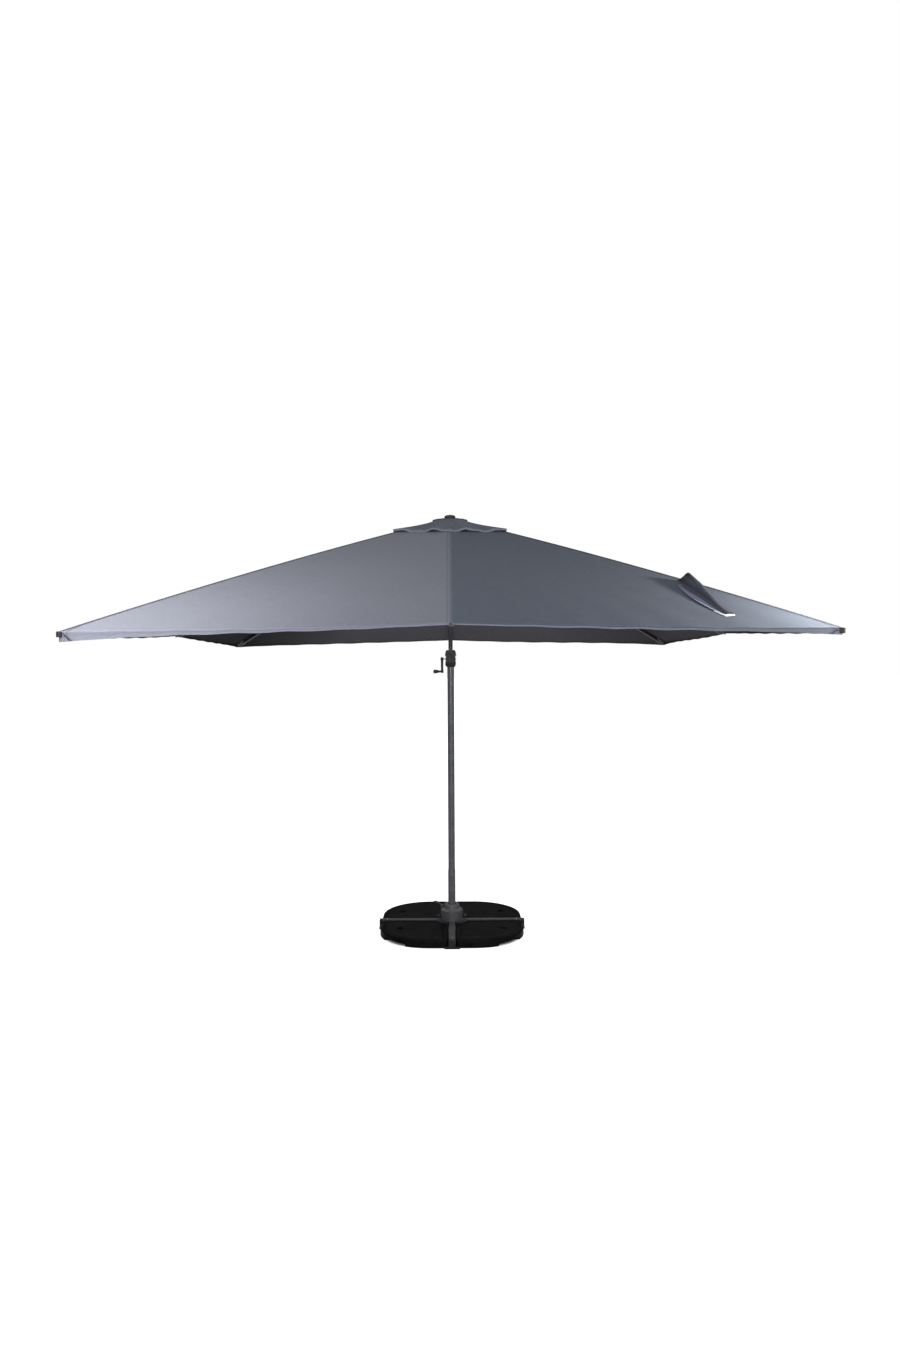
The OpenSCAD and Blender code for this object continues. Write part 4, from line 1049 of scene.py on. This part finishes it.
def softened(node, width, angle=30):
    # copy of a solid's mesh with its flat triangles joined and its edges rounded to the width
    mesh = nodes[node].data.copy()
    tidy = bmesh.new()
    tidy.from_mesh(mesh)
    bmesh.ops.remove_doubles(tidy, verts=tidy.verts, dist=1e-6)
    bmesh.ops.dissolve_limit(tidy, angle_limit=math.radians(0.5), verts=tidy.verts, edges=tidy.edges)
    if node.startswith("crank_case"):
        shapeCase(tidy)
    if node == "mast_tube":
        # paint and wall tolerance: the tube's outside is a little wider than the solid's
        outer = [vert for vert in tidy.verts if math.hypot(vert.co.x, vert.co.y) > mast["outside"]]
        bmesh.ops.scale(tidy, vec=(mast["wider"], mast["wider"], 1.0), verts=outer)
    tidy.to_mesh(mesh)
    tidy.free()
    smoothed(mesh, angle)
    piece = linked("soft_" + node, mesh)
    rounding = piece.modifiers.new("rounding", "BEVEL")
    rounding.width = width
    rounding.segments = 2
    rounding.limit_method = "ANGLE"
    rounding.angle_limit = math.radians(angle)
    rounding.harden_normals = True
    slot = next(entry["material_slot"] for entry in frame["record"]["subparts"] if entry["node"] == node)
    body = next(name for name, empty in frame["bodies"].items() if empty == nodes[node].parent)
    return finish(piece, slot, body, [node])


# widths of the rounded edges, node by node
edgeWidths = {
    "bar_across": 0.0018, "bars_lengthways": 0.0018, "bar_feet": 0.0022, "base_plate": 0.0015,
    "base_bolts": 0.0006, "filler_caps": 0.0012, "foot_cover": 0.0015, "cover_knobs": 0.0018,
    "foot_pedal": 0.0020,
    "crank_case_left": 0.0032, "crank_case_right": 0.0032, "arm_foot": 0.0012, "arm_head": 0.0012,
    "top_hub": 0.0012, "runner_hub": 0.0012, "finial": 0.0010, "mast_sleeve": 0.0010, "mast_tube": 0.0006,
    "arm_tube": 0.0006, "swivel_post": 0.0006, "swivel_bearing": 0.0006, "pedal_pin": 0.0005,
    "arm_pivot_pin": 0.0005, "crank_shaft": 0.0006, "hub_pins": 0.0005, "runner_pins": 0.0005,
    "case_screws": 0.0003}
for side in sides:
    edgeWidths.update({"rib_" + side: 0.0014, "stretcher_" + side: 0.0006})
for node, width in edgeWidths.items():
    piece = softened(node, width)
    if node == "filler_caps":
        piece.data.materials[0] = finishes["weight_plastic"]
print("solids' edges rounded")

# light: bright overhead, dim towards the horizon, white behind the object, and a lamp near each front corner
studio = {"zenith": 1.25, "horizon": 0.04, "low": 0.22, "high": 0.85, "floor": 0.55, "floorGlow": 1.0,
          "floorBounce": 0.12, "shadow": 0.52, "fadeFrom": 0.035, "fadeTo": 0.004, "floorHeight": -0.001,
          "floorX": (-60, 60), "floorY": (-30, 90)}
world = bpy.data.worlds.new("studio")
world.use_nodes = True
worldTree = world.node_tree
ground = worldTree.nodes["Background"]
skyPlace = splitVector(worldTree, worldTree.nodes.new("ShaderNodeTexCoord").outputs["Generated"])
skyRise = remap(worldTree, skyPlace["Z"], *(studio[key] for key in ("low", "high", "horizon", "zenith")))
seen = worldTree.nodes.new("ShaderNodeLightPath").outputs["Is Camera Ray"]
worldTree.links.new(mathNode(worldTree, "MAXIMUM", skyRise, seen), ground.inputs["Strength"])
ground.inputs["Color"].default_value = (1, 1, 1, 1)
bpy.context.scene.world = world
bpy.context.scene.view_settings.view_transform = "Standard"


def areaLight(name, place, target, size, power, colour=(1, 1, 1)):
    data = bpy.data.lights.new(name, "AREA")
    data.shape = "RECTANGLE"
    data.size, data.size_y = size
    data.energy = power
    data.color = colour
    lamp = linked(name, data)
    lamp.location = place
    lamp.rotation_euler = (Vector(target) - Vector(place)).to_track_quat("-Z", "Y").to_euler()
    lamp.visible_camera = False


areaLight("cornerLeft", (-1.45, -3.55, 2.72), (-1.35, -2.95, 2.15), (0.9, 0.6), 39, (1.0, 0.965, 0.89))
areaLight("cornerRight", (1.76, -3.14, 2.36), (1.40, -2.98, 2.15), (0.10, 0.10), 38, (1.0, 0.95, 0.86))
areaLight("keyLeft", (-4.5, -6.5, 3.4), (0.0, -1.0, 1.4), (2.4, 2.4), 60)
areaLight("hemStrip", (0.0, -5.4, 1.75), (0.0, -3.19, 2.07), (3.4, 0.4), 95)
areaLight("mastStrip", (4.6, -3.9, 1.3), (0.0, 0.0, 1.1), (0.25, 2.4), 30, (0.97, 0.98, 1.0))
areaLight("fillLow", (0.4, -3.9, 0.55), (0.0, 0.0, 0.35), (1.2, 0.7), 12)

floorMesh = bpy.data.meshes.new("floor")
(left, right), (front, back) = studio["floorX"], studio["floorY"]
floorPlan = [(left, front), (right, front), (right, back), (left, back)]
floorCorners = [(x, y, studio["floorHeight"]) for x, y in floorPlan]
floorMesh.from_pydata(floorCorners, [], [(0, 1, 2, 3)])
floor = linked("floor", floorMesh)
floorMaterial, floorTree, floorSurface = startMaterial("paleFloor", (studio["floor"],) * 3, 0.9, specular=0.0)
floorSurface["Emission Color"].default_value = (1, 1, 1, 1)
# the floor's glow fades under the base: distance is the cube root of |x|^3 + |y|^3
floorPlace = splitVector(floorTree, floorTree.nodes.new("ShaderNodeTexCoord").outputs["Object"])
sizes = [mathNode(floorTree, "ABSOLUTE", floorPlace[axis]) for axis in "XY"]
cubes = [mathNode(floorTree, "POWER", size, 3.0) for size in sizes]
away = mathNode(floorTree, "POWER", mathNode(floorTree, "ADD", *cubes), 1 / 3)
glow = remap(floorTree, away, studio["shadow"] - studio["fadeFrom"], studio["shadow"] - studio["fadeTo"],
             0.0, studio["floorGlow"])
viewed = remap(floorTree, floorTree.nodes.new("ShaderNodeLightPath").outputs["Is Camera Ray"], 0.0, 1.0,
               studio["floorBounce"], 1.0)
floorTree.links.new(mathNode(floorTree, "MULTIPLY", glow, viewed), floorSurface["Emission Strength"])
floorMesh.materials.append(floorMaterial)
print("floor and lights placed")
